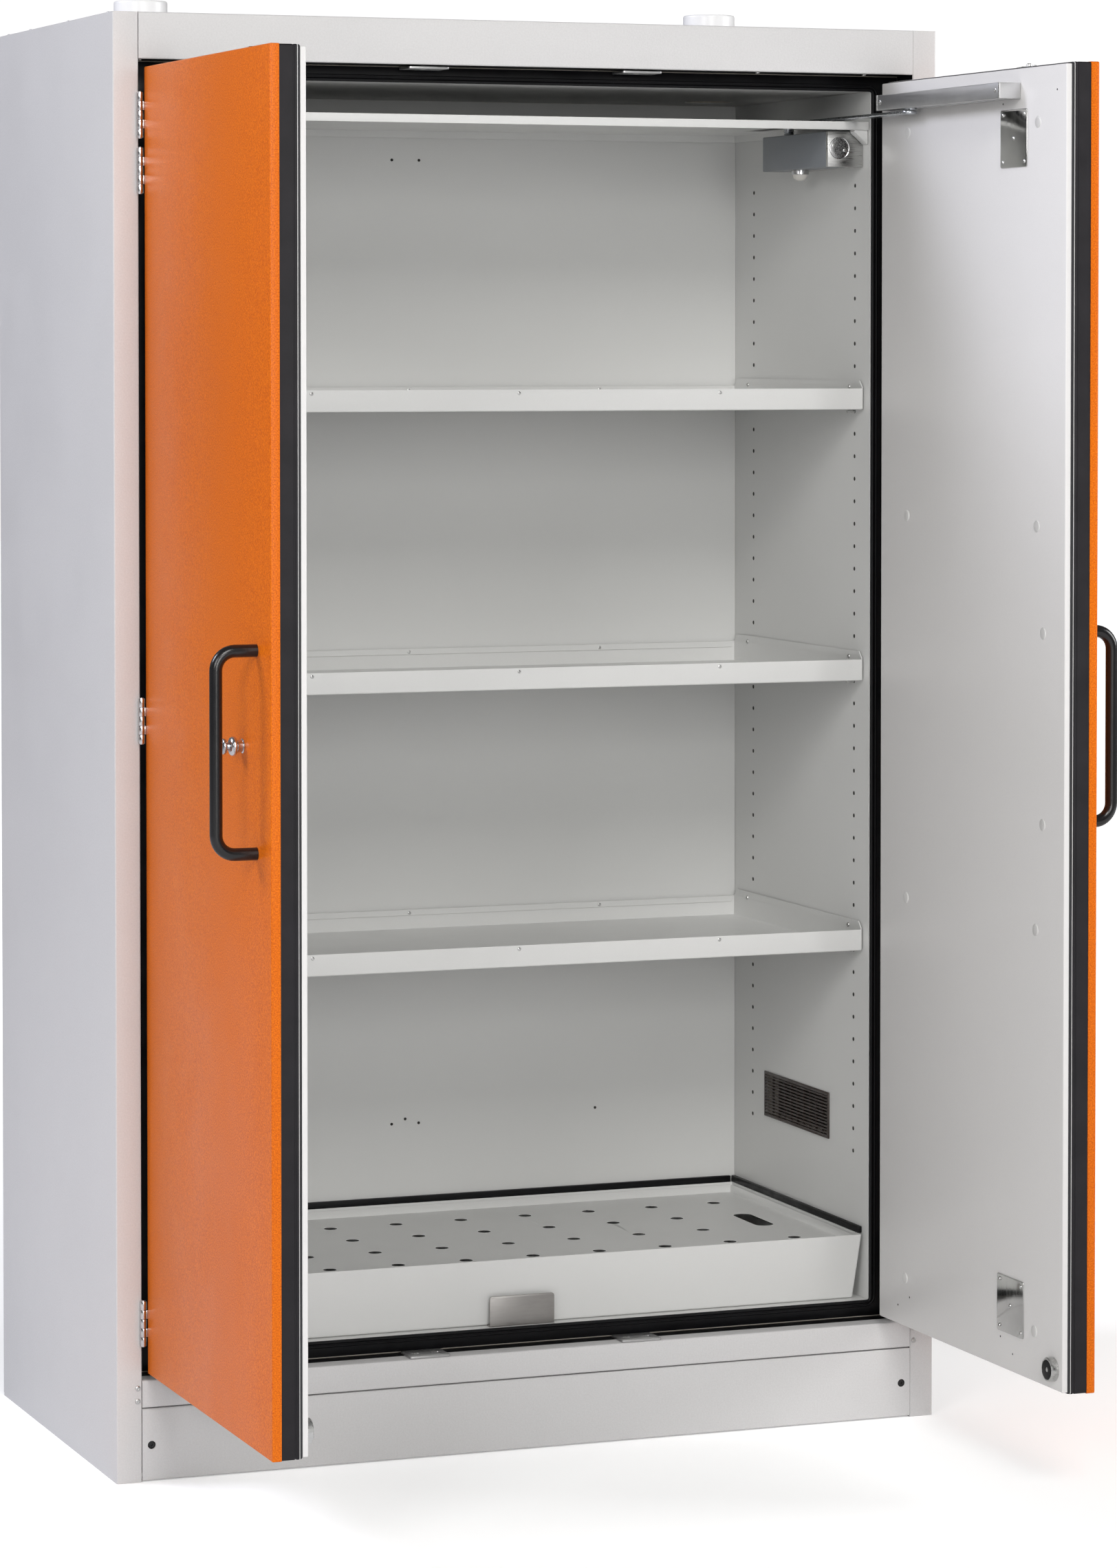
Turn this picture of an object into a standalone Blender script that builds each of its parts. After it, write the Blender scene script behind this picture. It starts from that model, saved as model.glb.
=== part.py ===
# Two-door safety cabinet for flammable liquids, 1.2 m class.
# Metres, +Z up, +X to the right seen from the front, -Y towards the user.
# The origin is on the floor under the middle of the body. The doors stand open.
import math

import bmesh
import bpy
from mathutils import Matrix, Vector

# ---- driving dimensions -------------------------------------------------
BODY_WIDTH = 1.195
BODY_DEPTH = 0.600
BODY_HEIGHT = 1.955
SPIGOT_TOP = 1.999
GAP = 0.0003            # between touching pieces
SHEET = 0.0015          # outer steel
LINER_SHEET = 0.0012    # inner steel

HALF_WIDTH = BODY_WIDTH / 2
FRONT = -BODY_DEPTH / 2
BACK = BODY_DEPTH / 2

POST_WIDTH = 0.035
REBATE_X = HALF_WIDTH - POST_WIDTH      # inner side of the posts
REBATE_BACK = -0.2475                   # where the folded rebates end
FASCIA_BOTTOM = 1.893
RAIL_TOP = 0.1365
RAIL_BOTTOM = 0.0995
RAIL_FLANGE_Y = -0.270                  # rear edge of the rail's lower fold
PLINTH_TOP = 0.098
PLINTH_BOTTOM = 0.0015
PLINTH_FLANGE_Y = -0.280
PLINTH_SCREW = (0.5493, 0.0492, 0.0055)  # x, z, hole radius
BASE_X = 0.585
BASE_BACK = 0.2945
BASE_WALL = 0.003
BASE_RIB = 0.010                        # half the middle rib

# store room inside the liner
ROOM_X = 0.5215
ROOM_FRONT = -0.2465
ROOM_BACK = 0.239
ROOM_FLOOR = 0.1595
ROOM_CEILING = 1.872

# doors: "along" is the distance from the hinge line, "deep" the distance behind it
HINGE_X = 0.562
HINGE_Y = -0.305
OPEN_LEFT = 90.3
OPEN_RIGHT = 90.8
DOOR_NEAR = 0.003
DOOR_FAR = 0.561
DOOR_BOTTOM = 0.147
DOOR_TOP = 1.882
SKIN_DEEP = 0.005       # outer face when the hinge line is at zero
SKIN_RETURN = 0.012
STRIP_END = 0.0405
PANEL_START = 0.0445
PANEL_DEEP = 0.052      # inner face
HINGE_CENTRES = (1.8185, 1.7453, 1.0172, 0.2139)
HINGE_LENGTH = 0.0606
KNUCKLE_RADIUS = 0.0044
HINGE_PIN = 0.0022
PIN_BORE = 0.0026
LATCH_ALONG = 0.407
LATCH_DEEP = 0.0285
LATCH_PROUD = 0.005
LATCH_LENGTH = 0.065
LATCH_RADIUS = 0.004
LATCH_BORE = (0.0048, 0.070)            # radius, depth below the door's top
MAGNET = (0.5345, 0.177)                # along, height
MAGNET_RADIUS = 0.0158
MAGNET_PROUD = 0.0102
LOCK = (0.443, 1.018)                   # along, height
HANDLE_ALONG = 0.5015
HANDLE_ENDS = (0.8895, 1.1400)
HANDLE_STAND_OFF = 0.0527
HANDLE_TUBE = 0.008
HANDLE_BEND = 0.024

# shelving
PIN_TOP = 1.7407
PIN_PITCH = 0.032
PIN_ROWS_Y = (-0.1954, 0.169)
PIN_RADIUS = 0.0025
SHELF_STEPS = (10, 22, 34)              # pin rows that carry the shelves
SHELF_NAMES = ("shelf_upper", "shelf_middle", "shelf_lower")
SHELF_FRONT = -0.2294
SHELF_BACK = 0.236
SHELF_X = 0.5195
LIP = 0.030
SIDE_LIP = 0.041

TOP_SHELF_LOW = 1.8175
TOP_SHELF_HIGH = 1.829
TOP_SHELF_X = 0.5205
TOP_SHELF_Y = (-0.2435, 0.2385)
ARM_SLOT = ((0.470, 0.499), (-0.100, 0.090))
GUSSET = (0.020, -0.2405, -0.2230, 1.797)   # width, front, back, lowest point

# sump
TRAY_TOP = 0.2515
TRAY_X = 0.517
TRAY_Y = (-0.2366, 0.235)
TRAY_TAPER = 0.010
INSERT_Z = 0.2375
INSERT_RIM = 0.012
INSERT_INSET = 0.0042
HOLE_PITCH = 0.1
HOLE_RADIUS = 0.00925
FINGER_SLOT = (0.450, 0.038, 0.014)     # x, half length to the end centres, end radius

# fittings of the sill and the lintel
KEEPER_HALF = 0.0475
KEEPER_Y = (-0.2405, -0.2275)
KEEPER_TOP = 0.202
STRIKER_HALF = 0.029
STRIKER_Y = (-0.2990, -0.2560)
STRIKER_UPPER_Z = (1.8876, 1.8906)
STRIKER_LOWER_THICK = 0.003
STRIKER_HOLE = 0.006

# ventilation
SPIGOT_X = 0.434
SPIGOT_Y = 0.135
SPIGOT_RADIUS = 0.0378
BORE_RADIUS = 0.0355
GRILLE_Y = (-0.113, 0.121)
GRILLE_Z = (0.369, 0.436)
PLENUM_X = (0.500, 0.545)               # space behind a grille
RISER = ((0.530, 0.560), (0.060, 0.110))
CROSSING_Y = (0.060, 0.160)             # from the riser back to the spigot
SPIGOT_WAY_Y = (0.110, 0.160)
AIR_WAY_Z = (1.890, 1.915)

# closer on the right wall
SPINDLE = (0.4845, -0.045)
RAIL_ALONG = (0.053, 0.430)
RAIL_HEIGHT = (1.839, 1.860)
RAIL_PROUD = 0.032
SLIDER_ALONG = 0.126
ARM_LOW = 1.8315
ARM_HIGH = 1.8360
HOUSING_X = (0.467, 0.5015)
HOUSING_Y = (-0.2150, 0.0100)
HOUSING_Z = (1.766, 1.816)

# colour, roughness, metallic
GREY_PAINT = ((0.66, 0.67, 0.67), 0.45, 0.0)
LINER_PAINT = ((0.60, 0.61, 0.60), 0.40, 0.0)
ORANGE_PAINT = ((0.80, 0.20, 0.03), 0.40, 0.0)
CHARCOAL = ((0.06, 0.06, 0.07), 0.65, 0.0)
BLACK_SEAL = ((0.01, 0.01, 0.012), 0.50, 0.0)
BLACK_PAINT = ((0.015, 0.015, 0.016), 0.45, 0.0)
CHROME = ((0.80, 0.80, 0.80), 0.15, 1.0)
STEEL = ((0.55, 0.55, 0.55), 0.30, 1.0)
ALUMINIUM = ((0.62, 0.63, 0.64), 0.40, 1.0)
BROWN_PLASTIC = ((0.04, 0.025, 0.02), 0.50, 0.0)
WHITE_PLASTIC = ((0.85, 0.85, 0.85), 0.35, 0.0)
BOARD = ((0.70, 0.68, 0.62), 0.90, 0.0)
GREY_METAL_PAINT = ((0.35, 0.37, 0.39), 0.45, 0.2)


# ---- scene and materials --------------------------------------------------
def clear_scene():
    for item in list(bpy.data.objects):
        bpy.data.objects.remove(item, do_unlink=True)


def new_collection(name):
    group = bpy.data.collections.new(name)
    bpy.context.scene.collection.children.link(group)
    return group


def add_finish(item, finish):
    colour, roughness, metallic = finish
    material = bpy.data.materials.new(item.name + "_finish")
    material.use_nodes = True
    shader = material.node_tree.nodes["Principled BSDF"]
    shader.inputs["Base Color"].default_value = (*colour, 1.0)
    shader.inputs["Roughness"].default_value = roughness
    shader.inputs["Metallic"].default_value = metallic
    item.data.materials.append(material)


# ---- shapes ---------------------------------------------------------------
def finish_object(name, mesh, finish, centre=(0, 0, 0), parent=None):
    item = bpy.data.objects.new(name, mesh)
    PARTS.objects.link(item)
    item.location = centre
    item.parent = parent
    add_finish(item, finish)
    return item


def mesh_from(bm, name):
    mesh = bpy.data.meshes.new(name)
    bm.to_mesh(mesh)
    bm.free()
    return mesh


def add_box(bm, low, high):
    """Add a box between two corners to a bmesh and return its vertices."""
    low, high = Vector(low), Vector(high)
    size = [abs(b - a) for a, b in zip(low, high)]
    place = Matrix.Translation((low + high) / 2) @ Matrix.Diagonal((*size, 1))
    return bmesh.ops.create_cube(bm, size=1, matrix=place)["verts"]


def add_rod(bm, start, end, radius, sides=12):
    """Add a closed cylinder between two points."""
    start, end = Vector(start), Vector(end)
    turn = (end - start).to_track_quat("Z", "Y").to_matrix().to_4x4()
    place = Matrix.Translation((start + end) / 2) @ turn
    made = bmesh.ops.create_cone(bm, cap_ends=True, segments=sides, radius1=radius,
                                 radius2=radius, depth=(end - start).length, matrix=place)
    return made["verts"]


def box(name, low, high, finish, parent=None):
    centre = (Vector(low) + Vector(high)) / 2
    bm = bmesh.new()
    add_box(bm, Vector(low) - centre, Vector(high) - centre)
    return finish_object(name, mesh_from(bm, name), finish, centre, parent)


def rod(name, start, end, radius, finish, sides=12, parent=None):
    centre = (Vector(start) + Vector(end)) / 2
    bm = bmesh.new()
    add_rod(bm, Vector(start) - centre, Vector(end) - centre, radius, sides)
    return finish_object(name, mesh_from(bm, name), finish, centre, parent)


def solidify(item, thickness, offset=-1):
    wall = item.modifiers.new("wall", "SOLIDIFY")
    wall.thickness = thickness
    wall.offset = offset
    wall.use_even_offset = True
    return item


def open_box(bm, low, high, open_faces):
    """A box without the faces whose normals are listed."""
    add_box(bm, low, high)
    bm.normal_update()
    gone = [f for f in bm.faces if any(f.normal.dot(Vector(n)) > 0.9 for n in open_faces)]
    bmesh.ops.delete(bm, geom=gone, context="FACES_ONLY")


def pan(name, low, high, open_faces, wall, finish, parent=None):
    """A sheet tray or sleeve, its wall inside the given corners."""
    bm = bmesh.new()
    open_box(bm, low, high, open_faces)
    item = finish_object(name, mesh_from(bm, name), finish, parent=parent)
    return solidify(item, wall)


def folded_sheet(name, profile, run, wall, finish, inward=-1):
    """Fold a sheet: a profile of 3-D points pushed along the vector run."""
    bm = bmesh.new()
    corners = [bm.verts.new(point) for point in profile]
    edges = [bm.edges.new(pair) for pair in zip(corners, corners[1:])]
    made = bmesh.ops.extrude_edge_only(bm, edges=edges)
    moved = [v for v in made["geom"] if isinstance(v, bmesh.types.BMVert)]
    bmesh.ops.translate(bm, verts=moved, vec=run)
    item = finish_object(name, mesh_from(bm, name), finish)
    return solidify(item, wall, inward)


def cutter(name, bm, parent=None):
    item = bpy.data.objects.new(name, mesh_from(bm, name))
    CUTTERS.objects.link(item)
    item.parent = parent
    item.hide_render = True
    item.display_type = "WIRE"
    return item


def boolean(item, tool, operation="DIFFERENCE"):
    step = item.modifiers.new(tool.name, "BOOLEAN")
    step.operation = operation
    step.object = tool
    step.solver = "EXACT"


def cut_boxes(item, corners, parent=None):
    bm = bmesh.new()
    for low, high in corners:
        add_box(bm, low, high)
    boolean(item, cutter(item.name + "_box_cut", bm, parent))


def cut_rods(item, ends, sides=12, parent=None):
    bm = bmesh.new()
    for start, end, radius in ends:
        add_rod(bm, start, end, radius, sides)
    boolean(item, cutter(item.name + "_round_cut", bm, parent))


def join_boxes(item, corners, parent=None):
    bm = bmesh.new()
    for low, high in corners:
        add_box(bm, low, high)
    boolean(item, cutter(item.name + "_join", bm, parent), "UNION")


def smooth(item):
    item.data.shade_smooth()
    item.data.set_sharp_from_angle(angle=math.radians(35))


def turned(name, profile, finish, place, parent=None, steps=24):
    """Turn a profile of (radius, height) pairs, run down its outer side."""
    bm = bmesh.new()
    points = [bm.verts.new((radius, 0, height)) for radius, height in profile]
    for pair in zip(points, points[1:]):
        bm.edges.new(pair)
    item = finish_object(name, mesh_from(bm, name), finish, parent=parent)
    item.matrix_local = place
    spin = item.modifiers.new("spin", "SCREW")
    spin.steps = steps
    spin.render_steps = steps
    spin.use_merge_vertices = True
    spin.merge_threshold = 0.00005
    return item


# ---- outer casing -----------------------------------------------------------
def make_casing_sides():
    back_flange = 0.022
    rear = BACK - SHEET - GAP
    for name, side in (("casing_left", -1), ("casing_right", 1)):
        plan = [(HALF_WIDTH - back_flange, rear), (HALF_WIDTH, rear), (HALF_WIDTH, FRONT),
                (REBATE_X, FRONT), (REBATE_X, REBATE_BACK)]
        profile = [(side * x, y, 0) for x, y in plan]
        folded_sheet(name, profile, (0, 0, BODY_HEIGHT), SHEET, GREY_PAINT, -side)


def make_casing_back():
    """The rear sheet laps over the folded edges of the side sheets."""
    half, foot = HALF_WIDTH - 0.0005, 0.004
    box("casing_back", (-half, BACK - SHEET, foot), (half, BACK, BODY_HEIGHT), GREY_PAINT)


def make_casing_top():
    """The roof sheet, with an ear over the top of each hollow post."""
    inner = HALF_WIDTH - SHEET - GAP
    rear = BACK - 2 * SHEET - 2 * GAP
    lap = 0.002
    low, high = BODY_HEIGHT - SHEET, BODY_HEIGHT
    top = box("casing_top", (-inner, REBATE_BACK + GAP, low), (inner, rear, high), GREY_PAINT)
    ears = []
    for side in (-1, 1):
        xs = sorted((side * (REBATE_X + SHEET + GAP), side * inner))
        ears.append(((xs[0], FRONT + SHEET + GAP, low), (xs[1], REBATE_BACK + lap, high)))
    join_boxes(top, ears)
    cut_rods(top, spigot_bores(low, high), 24)


def spigot_bores(low, high):
    """The two outlet bores as rods that run a little past both levels."""
    past = 0.01
    return [((x, SPIGOT_Y, low - past), (x, SPIGOT_Y, high + past), BORE_RADIUS)
            for x in (-SPIGOT_X, SPIGOT_X)]


def make_front_members():
    half = REBATE_X - GAP
    run = (2 * half, 0, 0)
    fascia = [(-half, REBATE_BACK, BODY_HEIGHT), (-half, FRONT, BODY_HEIGHT),
              (-half, FRONT, FASCIA_BOTTOM), (-half, REBATE_BACK, FASCIA_BOTTOM)]
    folded_sheet("front_fascia", fascia, run, SHEET, GREY_PAINT, 1)
    rail = [(-half, RAIL_FLANGE_Y, RAIL_BOTTOM), (-half, FRONT, RAIL_BOTTOM),
            (-half, FRONT, RAIL_TOP), (-half, REBATE_BACK, RAIL_TOP)]
    folded_sheet("bottom_rail", rail, run, SHEET, GREY_PAINT, -1)
    plinth = [(-half, PLINTH_FLANGE_Y, PLINTH_TOP), (-half, FRONT, PLINTH_TOP),
              (-half, FRONT, PLINTH_BOTTOM), (-half, PLINTH_FLANGE_Y, PLINTH_BOTTOM)]
    panel = folded_sheet("plinth_panel", plinth, run, SHEET, GREY_PAINT, 1)
    screw_x, screw_z, radius = PLINTH_SCREW
    past = 0.01
    cut_rods(panel, [((x, FRONT - past, screw_z), (x, FRONT + past, screw_z), radius)
                     for x in (-screw_x, screw_x)])


def make_base():
    low, high = (-BASE_X, ROOM_FRONT, 0), (BASE_X, BASE_BACK, RAIL_BOTTOM)
    base = box("base_frame", low, high, GREY_PAINT)
    past = 0.01
    pockets = []
    for side in (-1, 1):
        near, far = side * BASE_RIB, side * (BASE_X - BASE_WALL)
        pockets.append(((min(near, far), low[1] + BASE_WALL, -past),
                        (max(near, far), high[1] - BASE_WALL, high[2] - BASE_WALL)))
    cut_boxes(base, pockets)


# ---- insulation and liner ---------------------------------------------------
def make_insulation():
    """Five boards around the liner, with the air ways to the roof spigots cut in them."""
    outer = HALF_WIDTH - SHEET - GAP
    inner = ROOM_X + LINER_SHEET + GAP
    rear = BACK - 2 * SHEET - 2 * GAP
    low, high = RAIL_BOTTOM + 0.002, BODY_HEIGHT - SHEET - GAP
    back = ROOM_BACK + LINER_SHEET + GAP
    half = inner - GAP
    above = ROOM_CEILING + LINER_SHEET + GAP
    below = ROOM_FLOOR - LINER_SHEET - GAP
    riser_x, riser_y = RISER
    riser_foot = GRILLE_Z[0] + 0.02
    plenum = (*PLENUM_X, *GRILLE_Y, *GRILLE_Z)
    riser = (*riser_x, *riser_y, riser_foot, AIR_WAY_Z[1])
    crossing = (PLENUM_X[0], riser_x[1], *CROSSING_Y, *AIR_WAY_Z)
    for name, side in (("left", -1), ("right", 1)):
        xs = sorted((side * outer, side * inner))
        board = box("insulation_" + name, (xs[0], ROOM_FRONT, low), (xs[1], rear, high), BOARD)
        for number, way in enumerate((plenum, riser, crossing)):
            cut_way(board, number, side, way)
    box("insulation_back", (-half, back, low), (half, rear, high), BOARD)
    top = box("insulation_top", (-half, ROOM_FRONT, above), (half, back - GAP, high), BOARD)
    for side in (-1, 1):
        cut_way(top, side + 1, side, (SPIGOT_X, riser_x[1], *SPIGOT_WAY_Y, *AIR_WAY_Z))
    cut_rods(top, spigot_bores(above, high), 24)
    box("insulation_bottom", (-half, ROOM_FRONT, low), (half, back - GAP, below), BOARD)


def cut_way(board, number, side, way):
    """Cut one stretch of air way: near and far x on its side, then its y and z spans."""
    xs = sorted((side * way[0], side * way[1]))
    bm = bmesh.new()
    add_box(bm, (xs[0], way[2], way[4]), (xs[1], way[3], way[5]))
    boolean(board, cutter("%s_way_%d" % (board.name, number), bm))


def pin_heights():
    return [PIN_TOP - PIN_PITCH * step for step in SHELF_STEPS]


def make_liner():
    wall = LINER_SHEET
    back = ROOM_BACK + wall
    for name, side in (("liner_left", -1), ("liner_right", 1)):
        xs = sorted((side * ROOM_X, side * (ROOM_X + wall)))
        low = (xs[0], ROOM_FRONT, ROOM_FLOOR + GAP)
        high = (xs[1], back, ROOM_CEILING - GAP)
        item = box(name, low, high, LINER_PAINT)
        inside, outside = side * (ROOM_X - 0.01), side * (ROOM_X + 0.01)
        holes = [((inside, y, z), (outside, y, z), PIN_RADIUS + GAP)
                 for y in PIN_ROWS_Y for z in pin_heights()]
        cut_rods(item, holes, 8)
        lap = 0.004
        cut_boxes(item, [((min(inside, outside), GRILLE_Y[0] + lap, GRILLE_Z[0] + lap),
                          (max(inside, outside), GRILLE_Y[1] - lap, GRILLE_Z[1] - lap))])
    half = ROOM_X - GAP
    box("liner_back", (-half, ROOM_BACK, ROOM_FLOOR + GAP), (half, back, ROOM_CEILING - GAP),
        LINER_PAINT)
    full = ROOM_X + wall
    top = box("liner_ceiling", (-full, ROOM_FRONT, ROOM_CEILING), (full, back, ROOM_CEILING + wall),
              LINER_PAINT)
    cut_rods(top, spigot_bores(ROOM_CEILING, ROOM_CEILING + wall), 24)
    box("liner_floor", (-full, ROOM_FRONT, ROOM_FLOOR - wall), (full, back, ROOM_FLOOR),
        LINER_PAINT)


def make_frame_seal():
    """The black seal on the frame round the door opening."""
    side_gap, thick, end_gap, past = 0.0005, 0.005, 0.001, 0.01
    outer = REBATE_X - side_gap
    face = REBATE_BACK + side_gap
    low = (-outer, face - thick, RAIL_TOP + end_gap)
    high = (outer, face, FASCIA_BOTTOM - end_gap)
    item = box("frame_seal", low, high, BLACK_SEAL)
    cut_boxes(item, [((-ROOM_X, face - thick - past, ROOM_FLOOR),
                      (ROOM_X, face + past, ROOM_CEILING))])


# ---- ventilation ------------------------------------------------------------
def make_spigots():
    for name, side in (("roof_spigot_left", -1), ("roof_spigot_right", 1)):
        x = side * SPIGOT_X
        start, end = (x, SPIGOT_Y, BODY_HEIGHT + GAP), (x, SPIGOT_Y, SPIGOT_TOP)
        item = rod(name, start, end, SPIGOT_RADIUS, WHITE_PLASTIC, 32)
        past = 0.01
        bore = ((x, SPIGOT_Y, BODY_HEIGHT - past), (x, SPIGOT_Y, SPIGOT_TOP + past), BORE_RADIUS)
        cut_rods(item, [bore], 32)


def make_grilles():
    """A slatted plate on each side wall of the liner, low down."""
    rim, plate, slats, past = 0.005, 0.0022, 12, 0.01
    pitch = (GRILLE_Z[1] - GRILLE_Z[0] - 2 * rim) / slats
    face = ROOM_X - GAP
    for name, side in (("vent_grille_left", -1), ("vent_grille_right", 1)):
        xs = sorted((side * (face - plate), side * face))
        item = box(name, (xs[0], GRILLE_Y[0], GRILLE_Z[0]), (xs[1], GRILLE_Y[1], GRILLE_Z[1]),
                   BROWN_PLASTIC)
        slots = []
        for slat in range(slats):
            z = GRILLE_Z[0] + rim + pitch * slat
            slots.append(((xs[0] - past, GRILLE_Y[0] + rim, z + pitch * 0.25),
                          (xs[1] + past, GRILLE_Y[1] - rim, z + pitch * 0.75)))
        cut_boxes(item, slots)


# ---- shelving ---------------------------------------------------------------
def make_top_shelf():
    """The fixed shelf under the ceiling, with a slot for the closer's spindle and arm."""
    low = (-TOP_SHELF_X, TOP_SHELF_Y[0], TOP_SHELF_LOW)
    high = (TOP_SHELF_X, TOP_SHELF_Y[1], TOP_SHELF_HIGH)
    shelf = pan("top_shelf", low, high, [(0, 0, -1)], LINER_SHEET, LINER_PAINT)
    past = 0.01
    slot_x, slot_y = ARM_SLOT
    cut_boxes(shelf, [((slot_x[0], slot_y[0], low[2] - past), (slot_x[1], slot_y[1], high[2] + past))])
    width, front, back, lowest = GUSSET
    lap, tip = 0.002, 0.003
    bm = bmesh.new()
    for side in (-1, 1):
        wall, foot = side * TOP_SHELF_X, side * (TOP_SHELF_X - width)
        xs = sorted((wall, foot))
        corners = add_box(bm, (xs[0], front, lowest), (xs[1], back, TOP_SHELF_LOW + lap))
        for v in corners:
            if abs(v.co.x - foot) < 1e-6 and v.co.z < lowest + tip:
                v.co.z = TOP_SHELF_LOW - tip
    boolean(shelf, cutter("shelf_gussets", bm), "UNION")


def make_shelf(name, bottom):
    """A lipped tray shelf. Its side lips stand higher, with sloped ends."""
    bm = bmesh.new()
    open_box(bm, (-SHELF_X, SHELF_FRONT, bottom), (SHELF_X, SHELF_BACK, bottom + LIP), [(0, 0, 1)])
    rise = SIDE_LIP - LIP
    tops = [e for e in bm.edges if all(v.co.z > bottom + LIP / 2 for v in e.verts)
            and abs(e.verts[0].co.x - e.verts[1].co.x) < 1e-6]
    made = bmesh.ops.extrude_edge_only(bm, edges=tops)
    for v in made["geom"]:
        if isinstance(v, bmesh.types.BMVert):
            v.co.z += rise
            v.co.y += rise if v.co.y < 0 else -rise
    item = finish_object(name, mesh_from(bm, name), LINER_PAINT)
    solidify(item, LINER_SHEET)


def make_shelves():
    for name, pin_height in zip(SHELF_NAMES, pin_heights()):
        make_shelf(name, pin_height + PIN_RADIUS + GAP)


# ---- sump -------------------------------------------------------------------
def tapered_tray(name, low, high, taper, wall, finish):
    bm = bmesh.new()
    open_box(bm, low, high, [(0, 0, 1)])
    for v in bm.verts:
        if v.co.z < (low[2] + high[2]) / 2:
            v.co.x -= math.copysign(taper, v.co.x)
            v.co.y -= math.copysign(taper, v.co.y)
    return solidify(finish_object(name, mesh_from(bm, name), finish), wall)


def make_sump():
    tapered_tray("sump_tray", (-TRAY_X, TRAY_Y[0], ROOM_FLOOR + GAP), (TRAY_X, TRAY_Y[1], TRAY_TOP),
                 TRAY_TAPER, SHEET, LINER_PAINT)
    under = INSERT_Z - SHEET
    low = (-TRAY_X + INSERT_INSET, TRAY_Y[0] + INSERT_INSET, under)
    high = (TRAY_X - INSERT_INSET, TRAY_Y[1] - INSERT_INSET, under + INSERT_RIM)
    slope = TRAY_TAPER / (TRAY_TOP - ROOM_FLOOR)
    insert = tapered_tray("perforated_insert", low, high, INSERT_RIM * slope, SHEET, LINER_PAINT)
    below, above = under - 0.01, under + 0.01
    slot_x, reach, end_radius = FINGER_SLOT
    holes = []
    for column in range(-5, 5):
        for row in range(-2, 2):
            x = (column + 0.5) * HOLE_PITCH
            y = (row + 0.5) * HOLE_PITCH
            clear_of_slot = x < slot_x - HOLE_PITCH / 2 or abs(y) > HOLE_PITCH
            if clear_of_slot:
                holes.append(((x, y, below), (x, y, above), HOLE_RADIUS))
    cut_rods(insert, holes, 20)
    for end, y in enumerate((-reach, reach)):
        rounded = bmesh.new()
        add_rod(rounded, (slot_x, y, below), (slot_x, y, above), end_radius, 24)
        boolean(insert, cutter("finger_slot_end_%d" % end, rounded))
    cut_boxes(insert, [((slot_x - end_radius, -reach, below), (slot_x + end_radius, reach, above))])


def make_sill_fittings():
    """The bent keeper plate for the door magnets, and four striker plates."""
    foot = ROOM_FLOOR + GAP
    profile = [(-KEEPER_HALF, KEEPER_Y[1], foot), (-KEEPER_HALF, KEEPER_Y[0], foot),
               (-KEEPER_HALF, KEEPER_Y[0], KEEPER_TOP)]
    folded_sheet("keeper_plate", profile, (2 * KEEPER_HALF, 0, 0), SHEET, STEEL, -1)
    station = HINGE_X - LATCH_ALONG
    lower = (RAIL_TOP + GAP, RAIL_TOP + GAP + STRIKER_LOWER_THICK)
    past = 0.01
    for label, x in (("left", -station), ("right", station)):
        for level, (low, high) in (("upper", STRIKER_UPPER_Z), ("lower", lower)):
            plate = box("striker_%s_%s" % (level, label), (x - STRIKER_HALF, STRIKER_Y[0], low),
                        (x + STRIKER_HALF, STRIKER_Y[1], high), ALUMINIUM)
            if level == "upper":
                y = HINGE_Y + LATCH_DEEP
                cut_rods(plate, [((x, y, low - past), (x, y, high + past), STRIKER_HOLE)], 12)


# ---- closer -------------------------------------------------------------------
def make_closer():
    """The closer's body on the right wall, its angled bracket and the heat release under it."""
    front = (HOUSING_Y[0] - 0.0070, HOUSING_Y[0] - GAP)
    box("closer_housing", (HOUSING_X[0], HOUSING_Y[0], HOUSING_Z[0]),
        (HOUSING_X[1], HOUSING_Y[1], HOUSING_Z[1]), GREY_METAL_PAINT)
    bracket = box("closer_bracket", (HOUSING_X[1] + GAP, front[0], HOUSING_Z[0]),
                  (ROOM_X - GAP, HOUSING_Y[1], HOUSING_Z[1]), STEEL)
    lap = 0.001
    join_boxes(bracket, [((HOUSING_X[0], front[0], HOUSING_Z[0]),
                          (HOUSING_X[1] + lap, front[1], HOUSING_Z[1]))])
    release_x, release_y = 0.487, -0.080
    place = Matrix.Translation((release_x, release_y, HOUSING_Z[0] - GAP))
    button = [(0, 0), (0.0125, 0), (0.0125, -0.006), (0.0115, -0.0065), (0.009, -0.012),
              (0.004, -0.0145), (0, -0.015)]
    smooth(turned("thermal_release", button, WHITE_PLASTIC, place))


def make_closer_arm():
    """A flat bar with round ends on the closer's spindle."""
    half_width, root_radius, eye_radius, spindle_radius, lap = 0.009, 0.012, 0.011, 0.007, 0.002
    pivot = new_empty("closer_arm_axis", (*SPINDLE, 0), 0)
    reach = slider_point() - Vector(SPINDLE)
    pivot.rotation_euler.z = math.atan2(reach.y, reach.x)
    length = reach.length
    arm = box("closer_arm", (0, -half_width, ARM_LOW), (length, half_width, ARM_HIGH), STEEL, pivot)
    spindle_foot = HOUSING_Z[1] + 0.0005
    additions = (("root", 0, ARM_LOW, ARM_HIGH, root_radius, 20),
                 ("eye", length, ARM_LOW, ARM_HIGH, eye_radius, 20),
                 ("spindle", 0, spindle_foot, ARM_LOW + lap, spindle_radius, 12))
    for label, x, low, high, radius, sides in additions:
        bm = bmesh.new()
        add_rod(bm, (x, 0, low), (x, 0, high), radius, sides)
        boolean(arm, cutter("arm_" + label, bm, pivot), "UNION")


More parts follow.
